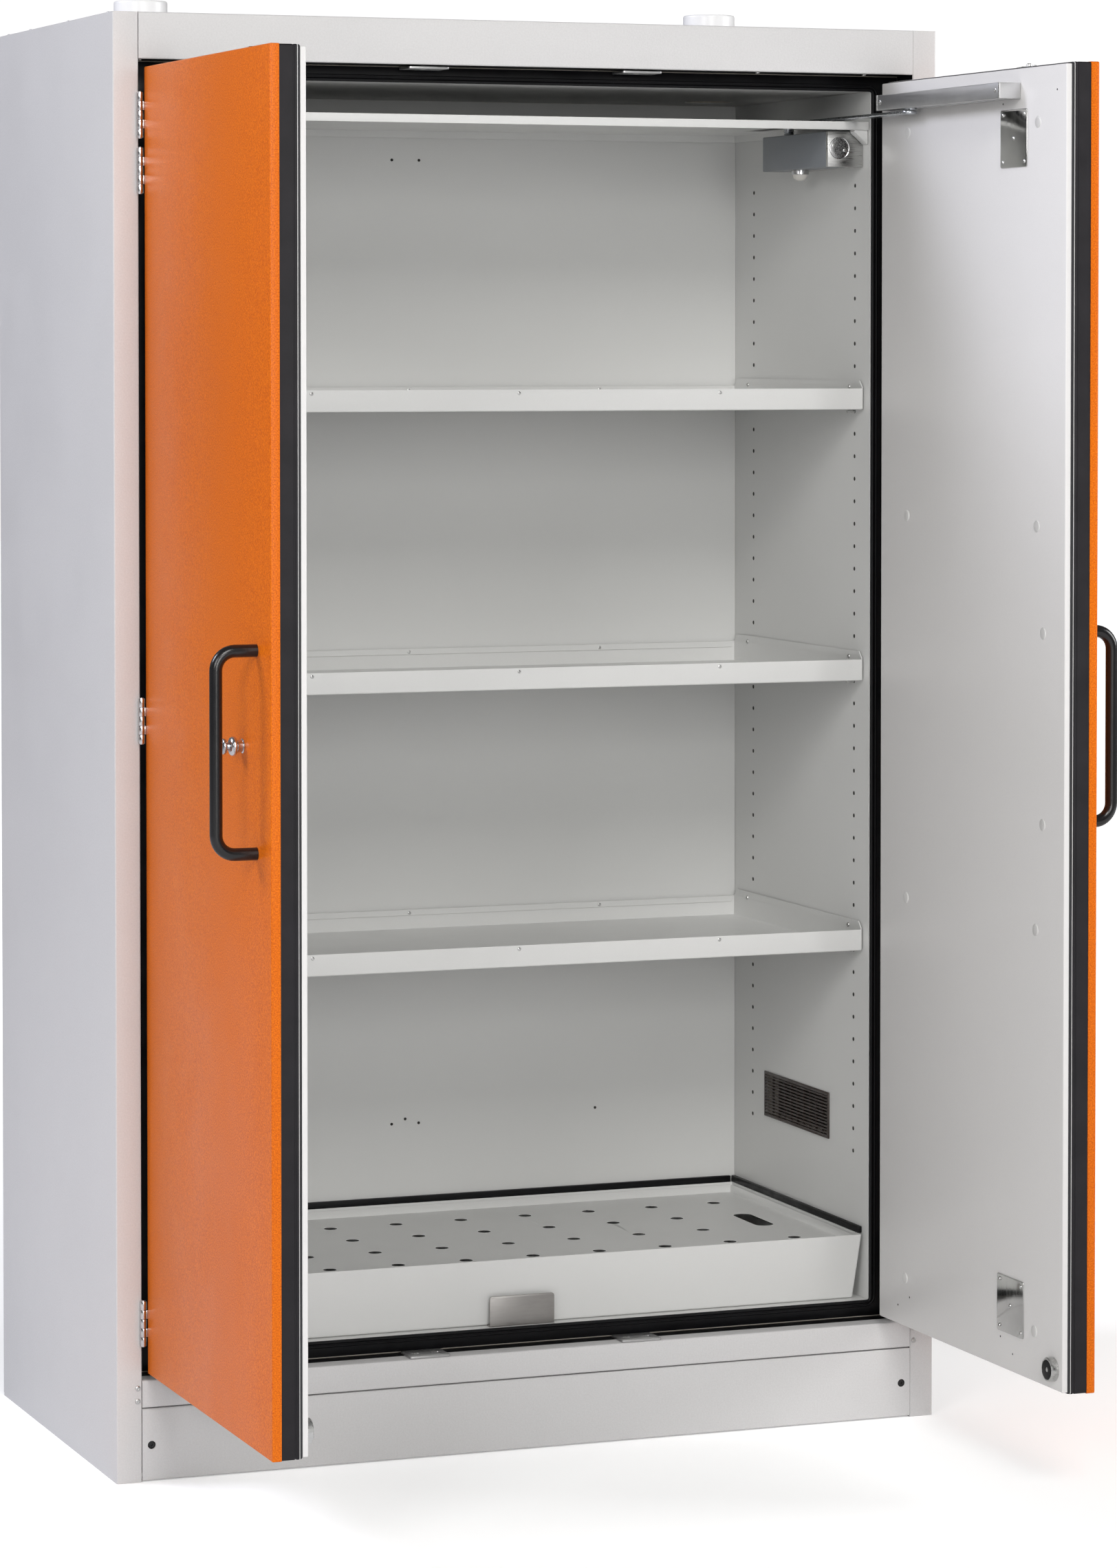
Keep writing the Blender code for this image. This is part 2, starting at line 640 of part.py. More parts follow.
def slider_point():
    """Where the slider's pivot stands with the right door open."""
    turn = math.radians(OPEN_RIGHT)
    along, deep = SLIDER_ALONG, PANEL_DEEP + RAIL_PROUD / 2
    x = -along * math.cos(turn) - deep * math.sin(turn)
    y = -along * math.sin(turn) + deep * math.cos(turn)
    return Vector((HINGE_X + x, HINGE_Y + y))


# ---- doors --------------------------------------------------------------------
def new_empty(name, place, turn):
    item = bpy.data.objects.new(name, None)
    PARTS.objects.link(item)
    item.location = place
    item.rotation_euler.z = turn
    return item


class Door:
    """One door in its own frame: the hinge line is the z axis."""

    def __init__(self, name, side, open_angle):
        self.name = name
        self.side = side            # -1 left, +1 right
        turn = math.radians(open_angle) * side
        self.axis = new_empty(name + "_hinge_line", (side * HINGE_X, HINGE_Y, 0), turn)

    def point(self, along, deep, z):
        return (-self.side * along, deep, z)

    def corners(self, along, deep, heights):
        xs = sorted((-self.side * along[0], -self.side * along[1]))
        return (xs[0], deep[0], heights[0]), (xs[1], deep[1], heights[1])


def make_door_body(door):
    """Orange skin, charcoal strip round the edge, grey inner panel and the board between."""
    near, far = DOOR_NEAR, DOOR_FAR
    skin_end = SKIN_DEEP + SKIN_RETURN
    low, high = door.corners((near, far), (SKIN_DEEP, skin_end), (DOOR_BOTTOM, DOOR_TOP))
    pan(door.name + "_shell", low, high, [(0, 1, 0)], LINER_SHEET, ORANGE_PAINT, door.axis)
    inset, strip_wall = 0.0005, 0.0025
    low, high = door.corners((near + inset, far - inset), (skin_end + GAP, STRIP_END),
                             (DOOR_BOTTOM + inset, DOOR_TOP - inset))
    strip = pan(door.name + "_edge_strip", low, high, [(0, 1, 0), (0, -1, 0)], strip_wall, CHARCOAL,
                door.axis)
    inset = 0.002
    low, high = door.corners((near + inset, far - inset), (PANEL_START, PANEL_DEEP),
                             (DOOR_BOTTOM + 1.5 * inset, DOOR_TOP - 1.5 * inset))
    pan(door.name + "_inner_panel", low, high, [(0, -1, 0)], LINER_SHEET, LINER_PAINT, door.axis)
    inset = 0.0045
    skins = (SKIN_DEEP + LINER_SHEET + GAP, PANEL_DEEP - LINER_SHEET - GAP)
    low, high = door.corners((near + inset, far - inset), skins,
                             (DOOR_BOTTOM + inset, DOOR_TOP - inset))
    core = box(door.name + "_core", low, high, BOARD, door.axis)
    bore_radius, bore_depth = LATCH_BORE
    tip = door.point(LATCH_ALONG, LATCH_DEEP, DOOR_TOP + 0.02)
    end = door.point(LATCH_ALONG, LATCH_DEEP, DOOR_TOP - bore_depth)
    for item in (strip, core):
        cut_rods(item, [(end, tip, bore_radius)], 12, door.axis)


def make_handle(door):
    """A bow handle of round tube."""
    bend = HANDLE_BEND
    low, high = HANDLE_ENDS
    grip = SKIN_DEEP - HANDLE_STAND_OFF
    foot = SKIN_DEEP - GAP
    arc = [(bend * math.sin(math.radians(15 * k)), bend * math.cos(math.radians(15 * k)))
           for k in range(7)]
    upper = [(grip + bend - a, high - bend + b) for a, b in arc]
    lower = [(grip + bend - b, low + bend - a) for a, b in arc]
    points = [(foot, high)] + upper + lower + [(foot, low)]
    curve = bpy.data.curves.new(door.name + "_handle", "CURVE")
    curve.dimensions = "3D"
    curve.bevel_depth = HANDLE_TUBE
    curve.bevel_resolution = 3
    curve.use_fill_caps = True
    path = curve.splines.new("POLY")
    path.points.add(len(points) - 1)
    for target, (deep, z) in zip(path.points, points):
        target.co = (*door.point(HANDLE_ALONG, deep, z), 1)
    finish_object(door.name + "_handle", curve, BLACK_PAINT, parent=door.axis)


def make_door_fittings(door):
    """The round magnet and the latch pin on top."""
    face = PANEL_DEEP + GAP
    along, height = MAGNET
    rod(door.name + "_magnet", door.point(along, face, height),
        door.point(along, face + MAGNET_PROUD, height), MAGNET_RADIUS, STEEL, 24, door.axis)
    top = DOOR_TOP + LATCH_PROUD
    rod(door.name + "_latch_pin", door.point(LATCH_ALONG, LATCH_DEEP, top - LATCH_LENGTH),
        door.point(LATCH_ALONG, LATCH_DEEP, top), LATCH_RADIUS, STEEL, 12, door.axis)


def make_lock(door):
    """The rosette and turning cylinder of the key lock."""
    place = Matrix.Translation(door.point(LOCK[0], SKIN_DEEP - GAP, LOCK[1]))
    place = place @ Matrix.Rotation(math.radians(90), 4, "X")
    rosette = [(0, 0.0175), (0.0085, 0.0172), (0.0122, 0.0145), (0.0122, 0.0100), (0.0080, 0.0070),
               (0.0080, 0), (0, 0)]
    smooth(turned("lock_rosette", rosette, CHROME, place, door.axis))
    cylinder = [(0, 0.0268), (0.0090, 0.0268), (0.0098, 0.0255), (0.0098, 0.0225), (0.0060, 0.0215),
                (0.0060, 0.0178), (0, 0.0178)]
    smooth(turned("lock_cylinder", cylinder, CHROME, place, door.axis))


def make_slide_rail(door):
    """The closer's slide rail on the inner face, and the slider under it."""
    face = PANEL_DEEP + GAP
    low, high = door.corners(RAIL_ALONG, (face, PANEL_DEEP + RAIL_PROUD), RAIL_HEIGHT)
    rail = box("slide_rail", low, high, ALUMINIUM, door.axis)
    groove_along = (RAIL_ALONG[0] + 0.017, RAIL_ALONG[1] - 0.0025)
    groove_deep = (face + 0.011, face + 0.021)
    groove_z = (RAIL_HEIGHT[0] - 0.009, RAIL_HEIGHT[0] + 0.013)
    cut_boxes(rail, [door.corners(groove_along, groove_deep, groove_z)], door.axis)
    half, clearance = 0.012, 0.0005
    low, high = door.corners((SLIDER_ALONG - half, SLIDER_ALONG + half),
                             (groove_deep[0] + clearance, groove_deep[1] - clearance),
                             (ARM_HIGH + 0.0006, groove_z[1] - 0.002))
    box("rail_slider", low, high, STEEL, door.axis)


# ---- hinges -------------------------------------------------------------------
def knuckle_spans(centre):
    step = HINGE_LENGTH / 5
    low = centre - HINGE_LENGTH / 2
    return [(low + step * k + GAP / 2, low + step * (k + 1) - GAP / 2) for k in range(5)]


def span_box(bm, point, along, deep, heights):
    a = point(along[0], deep[0], heights[0])
    b = point(along[1], deep[1], heights[1])
    add_box(bm, tuple(map(min, a, b)), tuple(map(max, a, b)))


def make_hinge_strip(name, which, along, point, parent=None):
    """A long strip deep in the rebate that carries four hinge leaves with their knuckles.

    which picks the knuckles, and along is the plate's span along the door.
    """
    near, tab, far, strip_far, lap = 0.0028, 0.0085, 0.0185, 0.0300, 0.002
    end_gap = 0.004
    half = HINGE_LENGTH / 2
    strip, leaves, tabs, knuckles = (bmesh.new() for _ in range(4))
    span_box(strip, point, along, (far - lap, strip_far), (DOOR_BOTTOM + end_gap, DOOR_TOP - end_gap))
    for centre in HINGE_CENTRES:
        span_box(leaves, point, along, (tab - lap / 2, far), (centre - half, centre + half))
        for low, high in [knuckle_spans(centre)[index] for index in which]:
            span_box(tabs, point, along, (near, tab), (low, high))
            add_rod(knuckles, point(0, 0, low), point(0, 0, high), KNUCKLE_RADIUS, 8)
    item = finish_object(name, mesh_from(strip, name), CHROME, parent=parent)
    boolean(item, cutter(name + "_leaves", leaves, parent), "UNION")
    boolean(item, cutter(name + "_tabs", tabs, parent), "UNION")
    boolean(item, cutter(name + "_knuckles", knuckles, parent), "UNION")
    return item


def frame_point(side):
    """The hinge line's own coordinates on the body, as door.point gives them on a door."""
    return lambda along, deep, z: (side * (HINGE_X - along), HINGE_Y + deep, z)


def hinge_rods(point, over, radius):
    bm = bmesh.new()
    half = HINGE_LENGTH / 2 + over
    for centre in HINGE_CENTRES:
        add_rod(bm, point(0, 0, centre - half), point(0, 0, centre + half), radius, 8)
    return bm


def make_hinges(doors):
    """The pins are pressed into the frame knuckles; the door knuckles turn on them."""
    for door in doors:
        leaf = make_hinge_strip(door.name + "_hinge_leaves", (1, 3), (0.0014, 0.0026), door.point,
                                door.axis)
        bores = hinge_rods(door.point, 0.002, PIN_BORE)
        boolean(leaf, cutter(leaf.name + "_bores", bores, door.axis))
        name = "frame_hinge_leaves_" + ("left" if door.side < 0 else "right")
        point = frame_point(door.side)
        frame = make_hinge_strip(name, (0, 2, 4), (-0.0002, 0.0010), point)
        boolean(frame, cutter(name + "_pins", hinge_rods(point, 0.0008, HINGE_PIN)), "UNION")


# ---- assembly -----------------------------------------------------------------
def build():
    make_casing_sides()
    make_casing_back()
    make_casing_top()
    make_front_members()
    make_base()
    make_insulation()
    make_liner()
    make_frame_seal()
    make_spigots()
    make_grilles()
    make_top_shelf()
    make_shelves()
    make_sump()
    make_sill_fittings()
    make_closer()
    doors = (Door("left_door", -1, OPEN_LEFT), Door("right_door", 1, OPEN_RIGHT))
    for door in doors:
        make_door_body(door)
        make_handle(door)
        make_door_fittings(door)
    make_lock(doors[0])
    make_slide_rail(doors[1])
    make_closer_arm()
    make_hinges(doors)


clear_scene()
PARTS = new_collection("flammable_storage_cabinet")
CUTTERS = new_collection("cutters")
build()
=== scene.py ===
import math
from types import SimpleNamespace as Named

import bmesh
import bpy
from mathutils import Matrix, Vector


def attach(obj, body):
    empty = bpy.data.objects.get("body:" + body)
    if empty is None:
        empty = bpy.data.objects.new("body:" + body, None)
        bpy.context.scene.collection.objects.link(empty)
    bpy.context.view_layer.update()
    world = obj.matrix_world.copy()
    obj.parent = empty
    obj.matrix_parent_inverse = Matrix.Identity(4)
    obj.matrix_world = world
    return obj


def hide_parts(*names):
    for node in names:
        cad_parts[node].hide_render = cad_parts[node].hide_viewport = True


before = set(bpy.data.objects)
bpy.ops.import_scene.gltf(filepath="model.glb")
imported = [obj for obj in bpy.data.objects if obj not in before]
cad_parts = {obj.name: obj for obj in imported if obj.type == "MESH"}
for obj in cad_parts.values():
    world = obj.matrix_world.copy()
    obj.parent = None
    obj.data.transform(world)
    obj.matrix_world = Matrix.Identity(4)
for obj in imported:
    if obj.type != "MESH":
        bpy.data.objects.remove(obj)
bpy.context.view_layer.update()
print("frame loaded,", len(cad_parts), "nodes")


def show(thing):
    bpy.context.scene.collection.objects.link(thing)


# camera and lights
cameraSettings = {
    "place": (-2.37036, -6.59138, 1.51945),
    "yaw": 0.36463,
    "pitch": 0.0339,
    "lens": 113.18,
    "shiftY": -0.17544,
}


def makeCamera():
    s = Named(**cameraSettings)
    data = bpy.data.cameras.new("studioCamera")
    data.lens = s.lens
    data.sensor_width = 36
    data.shift_y = s.shiftY
    data.clip_end = 60
    camera = bpy.data.objects.new("studioCamera", data)
    show(camera)
    flat = math.cos(s.pitch)
    ahead = Vector((math.sin(s.yaw) * flat, math.cos(s.yaw) * flat, -math.sin(s.pitch)))
    camera.location = s.place
    camera.rotation_euler = ahead.to_track_quat("-Z", "Y").to_euler()
    bpy.context.scene.camera = camera


lightSettings = {
    "frontHigh": {"place": (-1.3, -7.2, 5.6), "aim": (0, 0, 1.1), "size": (2.6, 2.2), "power": 215,
                  "colour": (1.0, 0.985, 0.965)},
    "leftFront": {"place": (-5.6, -6.2, 3.8), "aim": (0, 0, 1.1), "size": (2.4, 2.8), "power": 165,
                  "colour": (1.0, 0.99, 0.985)},
    "rightSide": {"place": (5.0, -2.2, 2.6), "aim": (0, 0, 1.1), "size": (2.0, 2.4), "power": 140,
                  "colour": (1.0, 1.0, 1.0)},
    "frontFar": {"place": (-1.5, -11.0, 2.6), "aim": (0, 0, 1.0), "size": (4.0, 3.0), "power": 290,
                 "colour": (1.0, 0.995, 0.985)},
    "leftBackHigh": {"place": (-5.0, 1.6, 4.6), "aim": (0, 0, 1.6), "size": (2.0, 2.0), "power": 215,
                     "colour": (0.86, 0.88, 1.0)},
}
worldSettings = {"colour": (1.0, 1.0, 1.0), "strength": 0.16, "backdrop": 1.05}


def makeLights():
    for name, values in lightSettings.items():
        s = Named(**values)
        data = bpy.data.lights.new(name, "AREA")
        data.shape = "RECTANGLE"
        data.size, data.size_y = s.size
        data.energy = s.power
        data.color = s.colour
        lamp = bpy.data.objects.new(name, data)
        show(lamp)
        lamp.location = s.place
        lamp.rotation_euler = (Vector(s.aim) - Vector(s.place)).to_track_quat("-Z", "Y").to_euler()
    world = bpy.data.worlds.new("whiteStudio")
    world.use_nodes = True
    tree = world.node_tree
    soft = tree.nodes["Background"]
    soft.inputs["Color"].default_value = (*worldSettings["colour"], 1)
    soft.inputs["Strength"].default_value = worldSettings["strength"]
    bright = tree.nodes.new("ShaderNodeBackground")
    bright.inputs["Color"].default_value = (1, 1, 1, 1)
    bright.inputs["Strength"].default_value = worldSettings["backdrop"]
    path = tree.nodes.new("ShaderNodeLightPath")
    mix = tree.nodes.new("ShaderNodeMixShader")
    tree.links.new(path.outputs["Is Camera Ray"], mix.inputs[0])
    tree.links.new(soft.outputs[0], mix.inputs[1])
    tree.links.new(bright.outputs[0], mix.inputs[2])
    tree.links.new(mix.outputs[0], tree.nodes["World Output"].inputs["Surface"])
    bpy.context.scene.world = world
    bpy.context.scene.view_settings.view_transform = "Standard"


# shader node groups: each one puts out only what changes over the surface
def newGroup(name, inputs, outputs):
    group = bpy.data.node_groups.new(name, "ShaderNodeTree")
    for label, kind, value in inputs:
        socket = group.interface.new_socket(label, in_out="INPUT", socket_type="NodeSocket" + kind)
        if value is not None:
            socket.default_value = value
    for label, kind in outputs:
        group.interface.new_socket(label, in_out="OUTPUT", socket_type="NodeSocket" + kind)
    return group, group.nodes.new("NodeGroupInput").outputs, group.nodes.new("NodeGroupOutput").inputs


def addNode(tree, kind, links=(), **values):
    node = tree.nodes.new("ShaderNode" + kind)
    for key, value in values.items():
        setattr(node, key, value)
    for socket, value in links:
        if isinstance(value, bpy.types.NodeSocket):
            tree.links.new(value, node.inputs[socket])
        else:
            node.inputs[socket].default_value = value
    return node.outputs


def noise(tree, vector, scale, detail, roughness=0.5):
    links = [("Vector", vector), ("Scale", scale), ("Detail", detail), ("Roughness", roughness)]
    return addNode(tree, "TexNoise", links)["Fac"]


def maths(tree, operation, *values):
    return addNode(tree, "Math", enumerate(values), operation=operation)[0]


def remap(tree, value, low, high, toLow=0.0, toHigh=1.0):
    labels = ("Value", "From Min", "From Max", "To Min", "To Max")
    return addNode(tree, "MapRange", zip(labels, (value, low, high, toLow, toHigh)))[0]


def blend(tree, factor, first, second, **values):
    return addNode(tree, "Mix", [("Factor", factor), (6, first), (7, second)], data_type="RGBA", **values)[2]


def makePeelGroup():
    # orange-peel skin of a powder coat: a height and a fine light-dark speckle
    group, given, out = newGroup("powderPeel", [("Vector", "Vector", None), ("Grain", "Float", 420.0),
        ("Contrast", "Float", 0.5)], [("Height", "Float"), ("Speckle", "Float")])
    coarse = noise(group, given["Vector"], given["Grain"], 2.0, 0.55)
    fine = noise(group, given["Vector"], maths(group, "MULTIPLY", given["Grain"], 2.7), 1.0)
    centred = maths(group, "SUBTRACT", remap(group, coarse, 0.3, 0.7), 0.5)
    group.links.new(maths(group, "MULTIPLY_ADD", fine, 0.35, coarse), out["Height"])
    group.links.new(maths(group, "MULTIPLY_ADD", centred, given["Contrast"], 0.5), out["Speckle"])
    return group


def makeToneGroup():
    # slow drift of colour across large sheets
    group, given, out = newGroup("slowTone", [("Vector", "Vector", None),
        ("Colour", "Color", (0.5, 0.5, 0.5, 1)), ("Drift", "Color", (0.45, 0.45, 0.45, 1)),
        ("Scale", "Float", 1.3)], [("Colour", "Color")])
    mask = remap(group, noise(group, given["Vector"], given["Scale"], 3.0), 0.35, 0.65)
    group.links.new(blend(group, mask, given["Colour"], given["Drift"]), out["Colour"])
    return group


def makeGrainGroup():
    # brushed metal: noise drawn out along one direction by the vector it is given
    group, given, out = newGroup("brushedGrain", [("Vector", "Vector", None),
        ("Stretch", "Vector", (30.0, 900.0, 900.0)), ("Low", "Float", 0.2), ("High", "Float", 0.45)],
        [("Height", "Float"), ("Roughness", "Float")])
    drawn = addNode(group, "VectorMath", [(0, given["Vector"]), (1, given["Stretch"])], operation="MULTIPLY")[0]
    lines = noise(group, drawn, 1.0, 3.0)
    group.links.new(lines, out["Height"])
    group.links.new(remap(group, lines, 0.3, 0.7, given["Low"], given["High"]), out["Roughness"])
    return group


def makeSmudgeGroup():
    # handling marks: a little more roughness in soft patches
    group, given, out = newGroup("softSmudge", [("Vector", "Vector", None), ("Scale", "Float", 9.0),
        ("Low", "Float", 0.35), ("High", "Float", 0.45)], [("Roughness", "Float")])
    patch = noise(group, given["Vector"], given["Scale"], 4.0, 0.6)
    group.links.new(remap(group, patch, 0.35, 0.65, given["Low"], given["High"]), out["Roughness"])
    return group


def makeBraidGroup():
    # crossing diagonal strands of a braided cord
    group, given, out = newGroup("cordBraid", [("Vector", "Vector", None), ("Pitch", "Float", 2600.0)],
        [("Height", "Float")])
    axes = addNode(group, "SeparateXYZ", [(0, given["Vector"])])
    across = maths(group, "ADD", axes["X"], axes["Y"])
    strands = []
    for sign in (1.0, -1.0):
        lean = maths(group, "MULTIPLY_ADD", across, sign, axes["Z"])
        strands.append(maths(group, "SINE", maths(group, "MULTIPLY", lean, given["Pitch"])))
    weave = maths(group, "MULTIPLY", *strands)
    group.links.new(maths(group, "MULTIPLY_ADD", weave, 0.5, 0.5), out["Height"])
    return group


peelGroup = makePeelGroup()
toneGroup = makeToneGroup()
grainGroup = makeGrainGroup()
smudgeGroup = makeSmudgeGroup()
braidGroup = makeBraidGroup()
print("shader groups built")


# materials
def startMaterial(name, **values):
    material = bpy.data.materials.new(name)
    material.use_nodes = True
    tree = material.node_tree
    shader = tree.nodes["Principled BSDF"].inputs
    for label, value in values.items():
        shader[label.replace("_", " ")].default_value = (*value, 1) if isinstance(value, tuple) else value
    return material, tree, shader, addNode(tree, "TexCoord")["Object"]


def useGroup(tree, group, **values):
    return addNode(tree, "Group", values.items(), node_tree=group)


def addBump(tree, shader, height, distance):
    bump = addNode(tree, "Bump", [("Height", height), ("Distance", distance), ("Strength", 1.0)])
    tree.links.new(bump["Normal"], shader["Normal"])


def powderCoat(name, colour, drift, grain, bump, gloss, contrast=0.12, coat=0.0, specular=0.5):
    # a coloured powder coat: drifting tone, speckle, orange-peel bump and soft smudges
    material, tree, shader, place = startMaterial(name, Coat_Weight=coat, Coat_Roughness=0.25,
        Specular_IOR_Level=specular)
    tone = useGroup(tree, toneGroup, Vector=place, Colour=(*colour, 1), Drift=(*drift, 1), Scale=1.3)
    peel = useGroup(tree, peelGroup, Vector=place, Grain=grain, Contrast=contrast)
    speckled = blend(tree, 1.0, tone["Colour"], peel["Speckle"], blend_type="OVERLAY")
    tree.links.new(speckled, shader["Base Color"])
    smudge = useGroup(tree, smudgeGroup, Vector=place, Scale=7.0, Low=gloss[0], High=gloss[1])
    tree.links.new(smudge["Roughness"], shader["Roughness"])
    addBump(tree, shader, peel["Height"], bump)
    return material


def brushedMetal(name, colour, stretch, low, high, bump=0.00002):
    material, tree, shader, place = startMaterial(name, Metallic=1.0)
    drift = (*[c * 0.86 for c in colour], 1)
    tone = useGroup(tree, toneGroup, Vector=place, Colour=(*colour, 1), Drift=drift, Scale=14.0)
    tree.links.new(tone["Colour"], shader["Base Color"])
    grain = useGroup(tree, grainGroup, Vector=place, Stretch=stretch, Low=low, High=high)
    tree.links.new(grain["Roughness"], shader["Roughness"])
    addBump(tree, shader, grain["Height"], bump)
    return material


def mouldedPlastic(name, colour, drift, grain, bump, gloss, specular=0.5):
    material, tree, shader, place = startMaterial(name, Specular_IOR_Level=specular)
    peel = useGroup(tree, peelGroup, Vector=place, Grain=grain, Contrast=0.2)
    tone = useGroup(tree, toneGroup, Vector=place, Colour=(*colour, 1), Drift=(*drift, 1), Scale=22.0)
    tree.links.new(tone["Colour"], shader["Base Color"])
    smudge = useGroup(tree, smudgeGroup, Vector=place, Scale=25.0, Low=gloss[0], High=gloss[1])
    tree.links.new(smudge["Roughness"], shader["Roughness"])
    addBump(tree, shader, peel["Height"], bump)
    return material


def braidedCord(name, colour):
    material, tree, shader, place = startMaterial(name, Roughness=0.6)
    braid = useGroup(tree, braidGroup, Vector=place, Pitch=2400.0)
    # the braid's valleys take a painted shade and its ridges a painted highlight
    valleyShade, ridgeHighlight = ((*[c * gain for c in colour], 1) for gain in (0.35, 2.6))
    tree.links.new(blend(tree, braid["Height"], valleyShade, ridgeHighlight), shader["Base Color"])
    addBump(tree, shader, braid["Height"], 0.0004)
    return material


paintSettings = {
    "casing": {"colour": (0.600, 0.592, 0.590), "drift": (0.575, 0.570, 0.572), "grain": 430.0, "bump": 0.00016,
               "gloss": (0.36, 0.44), "contrast": 0.05},
    "liner": {"colour": (0.665, 0.667, 0.655), "drift": (0.645, 0.648, 0.637), "grain": 900.0, "bump": 0.00003,
              "gloss": (0.34, 0.42), "contrast": 0.02},
    "doorPanel": {"colour": (0.735, 0.722, 0.715), "drift": (0.710, 0.700, 0.694), "grain": 620.0, "bump": 0.00006,
                  "gloss": (0.36, 0.44), "contrast": 0.03},
    "orange": {"colour": (0.690, 0.148, 0.003), "drift": (0.640, 0.130, 0.002), "grain": 560.0, "bump": 0.00022,
               "gloss": (0.30, 0.38), "contrast": 0.42, "specular": 0.20},
}
casingPaint = powderCoat("casingGreyCoat", **paintSettings["casing"])
linerPaint = powderCoat("linerGreyCoat", **paintSettings["liner"])
panelPaint = powderCoat("doorPanelGreyCoat", **paintSettings["doorPanel"])
orangePaint = powderCoat("doorOrangeCoat", **paintSettings["orange"])
darkPaint = powderCoat("handleBlackCoat", (0.006, 0.006, 0.007), (0.009, 0.009, 0.010), 700.0, 0.00004,
    (0.20, 0.27), 0.1)
closerPaint = powderCoat("closerGreyCoat", (0.21, 0.225, 0.245), (0.185, 0.20, 0.22), 1400.0, 0.00003,
    (0.30, 0.40), 0.1)
stripPlastic = mouldedPlastic("edgeStripCharcoal", (0.016, 0.0145, 0.017), (0.012, 0.011, 0.013), 900.0,
    0.00008, (0.45, 0.58), 0.25)
# black seal rubber; it is also the painted shade on the casing's rebate faces
sealRubberAndShade = mouldedPlastic("blackSealRubberAndShade", (0.0025, 0.0025, 0.0030), (0.004, 0.004, 0.005), 800.0, 0.00005,
    (0.34, 0.5), 0.22)
grillePlastic = mouldedPlastic("grilleBrown", (0.030, 0.017, 0.012), (0.022, 0.013, 0.010), 900.0, 0.00004,
    (0.35, 0.45))
whitePlastic = mouldedPlastic("whitePlastic", (0.86, 0.86, 0.86), (0.80, 0.80, 0.81), 500.0, 0.00003, (0.28, 0.38))
capPlastic = mouldedPlastic("capGreyPlastic", (0.64, 0.635, 0.625), (0.62, 0.615, 0.605), 700.0, 0.00002,
    (0.30, 0.40))
lensPlastic = mouldedPlastic("releasePaleResin", (0.66, 0.64, 0.60), (0.60, 0.58, 0.54), 900.0, 0.00002,
    (0.18, 0.28))
boardFibre = mouldedPlastic("boardPaleFibre", (0.62, 0.58, 0.50), (0.54, 0.50, 0.43), 260.0, 0.0004, (0.85, 0.95))
# dark finish used as painted shade in holes and pockets
holeShade = mouldedPlastic("holeShade", (0.010, 0.009, 0.008), (0.014, 0.012, 0.010), 900.0, 0.00002, (0.7, 0.8))
cordFibre = braidedCord("blackBraidedCord", (0.012, 0.012, 0.014))
chromePlate = brushedMetal("brightChrome", (0.66, 0.66, 0.67), (500.0, 500.0, 500.0), 0.16, 0.26, 0.000004)
zincPlate = brushedMetal("zincPlate", (0.62, 0.62, 0.61), (260.0, 260.0, 260.0), 0.22, 0.36, 0.00001)
bracketSteel = brushedMetal("bracketBrushedSteel", (0.55, 0.55, 0.54), (40.0, 60.0, 1400.0), 0.22, 0.42)
keeperSteel = brushedMetal("keeperScuffedSteel", (0.40, 0.385, 0.37), (60.0, 900.0, 420.0), 0.34, 0.55, 0.00003)
railAluminium = brushedMetal("railSatinAluminium", (0.58, 0.58, 0.585), (700.0, 16.0, 1500.0), 0.32, 0.44)
coverSteel = brushedMetal("coverPolishedSteel", (0.60, 0.60, 0.59), (14.0, 320.0, 14.0), 0.07, 0.16, 0.00002)
strikerAlloy = brushedMetal("strikerCastAlloy", (0.52, 0.52, 0.52), (500.0, 500.0, 500.0), 0.30, 0.48, 0.00004)
armSteel = brushedMetal("armPlatedSteel", (0.50, 0.52, 0.55), (60.0, 300.0, 900.0), 0.22, 0.34)
print("materials built:", len(bpy.data.materials))


# mesh helpers
def picked(geom, kind):
    return [part for part in geom if isinstance(part, kind)]


def block(bm, low, high):
    low, high = Vector(low), Vector(high)
    place = Matrix.Translation((low + high) / 2) @ Matrix.Diagonal((*(high - low), 1))
    return bmesh.ops.create_cube(bm, size=1, matrix=place)["verts"]


def rod(bm, start, end, radius, sides=24, tip=None):
    start, end = Vector(start), Vector(end)
    turn = (end - start).to_track_quat("Z", "Y").to_matrix().to_4x4()
    place = Matrix.Translation((start + end) / 2) @ turn
    return bmesh.ops.create_cone(bm, cap_ends=True, segments=sides, radius1=radius,
        radius2=radius if tip is None else tip, depth=(end - start).length, matrix=place)["verts"]


def roundEdges(bm, edges, width, segments=2):
    bmesh.ops.bevel(bm, geom=list(dict.fromkeys(edges)), offset=width, offset_type="OFFSET", segments=segments,
        profile=0.5, affect="EDGES", clamp_overlap=True, material=-1)


def foldEdges(bm, degrees=25):
    limit = math.radians(degrees)
    return [e for e in bm.edges if len(e.link_faces) == 2 and e.calc_face_angle(0) > limit]


def lathe(bm, outline, place, steps=32):
    # outline is (radius, height) from the axis at one end to the axis at the other
    shape = bmesh.new()
    points = [shape.verts.new((radius, 0, height)) for radius, height in outline]
    edges = [shape.edges.new(pair) for pair in zip(points, points[1:])]
    bmesh.ops.spin(shape, geom=points + edges, cent=(0, 0, 0), axis=(0, 0, 1), angle=math.tau, steps=steps,
        use_merge=True, use_duplicate=False)
    bmesh.ops.remove_doubles(shape, verts=shape.verts, dist=1e-7)
    bmesh.ops.recalc_face_normals(shape, faces=shape.faces)
    bmesh.ops.transform(shape, matrix=place, verts=shape.verts)
    append(bm, shape)


def append(bm, shape):
    mesh = bpy.data.meshes.new("part")
    shape.to_mesh(mesh)
    shape.free()
    bm.from_mesh(mesh)
    bpy.data.meshes.remove(mesh)


def facing(point, direction):
    # a place whose Z axis points along direction
    return Matrix.Translation(point) @ Vector(direction).to_track_quat("Z", "Y").to_matrix().to_4x4()


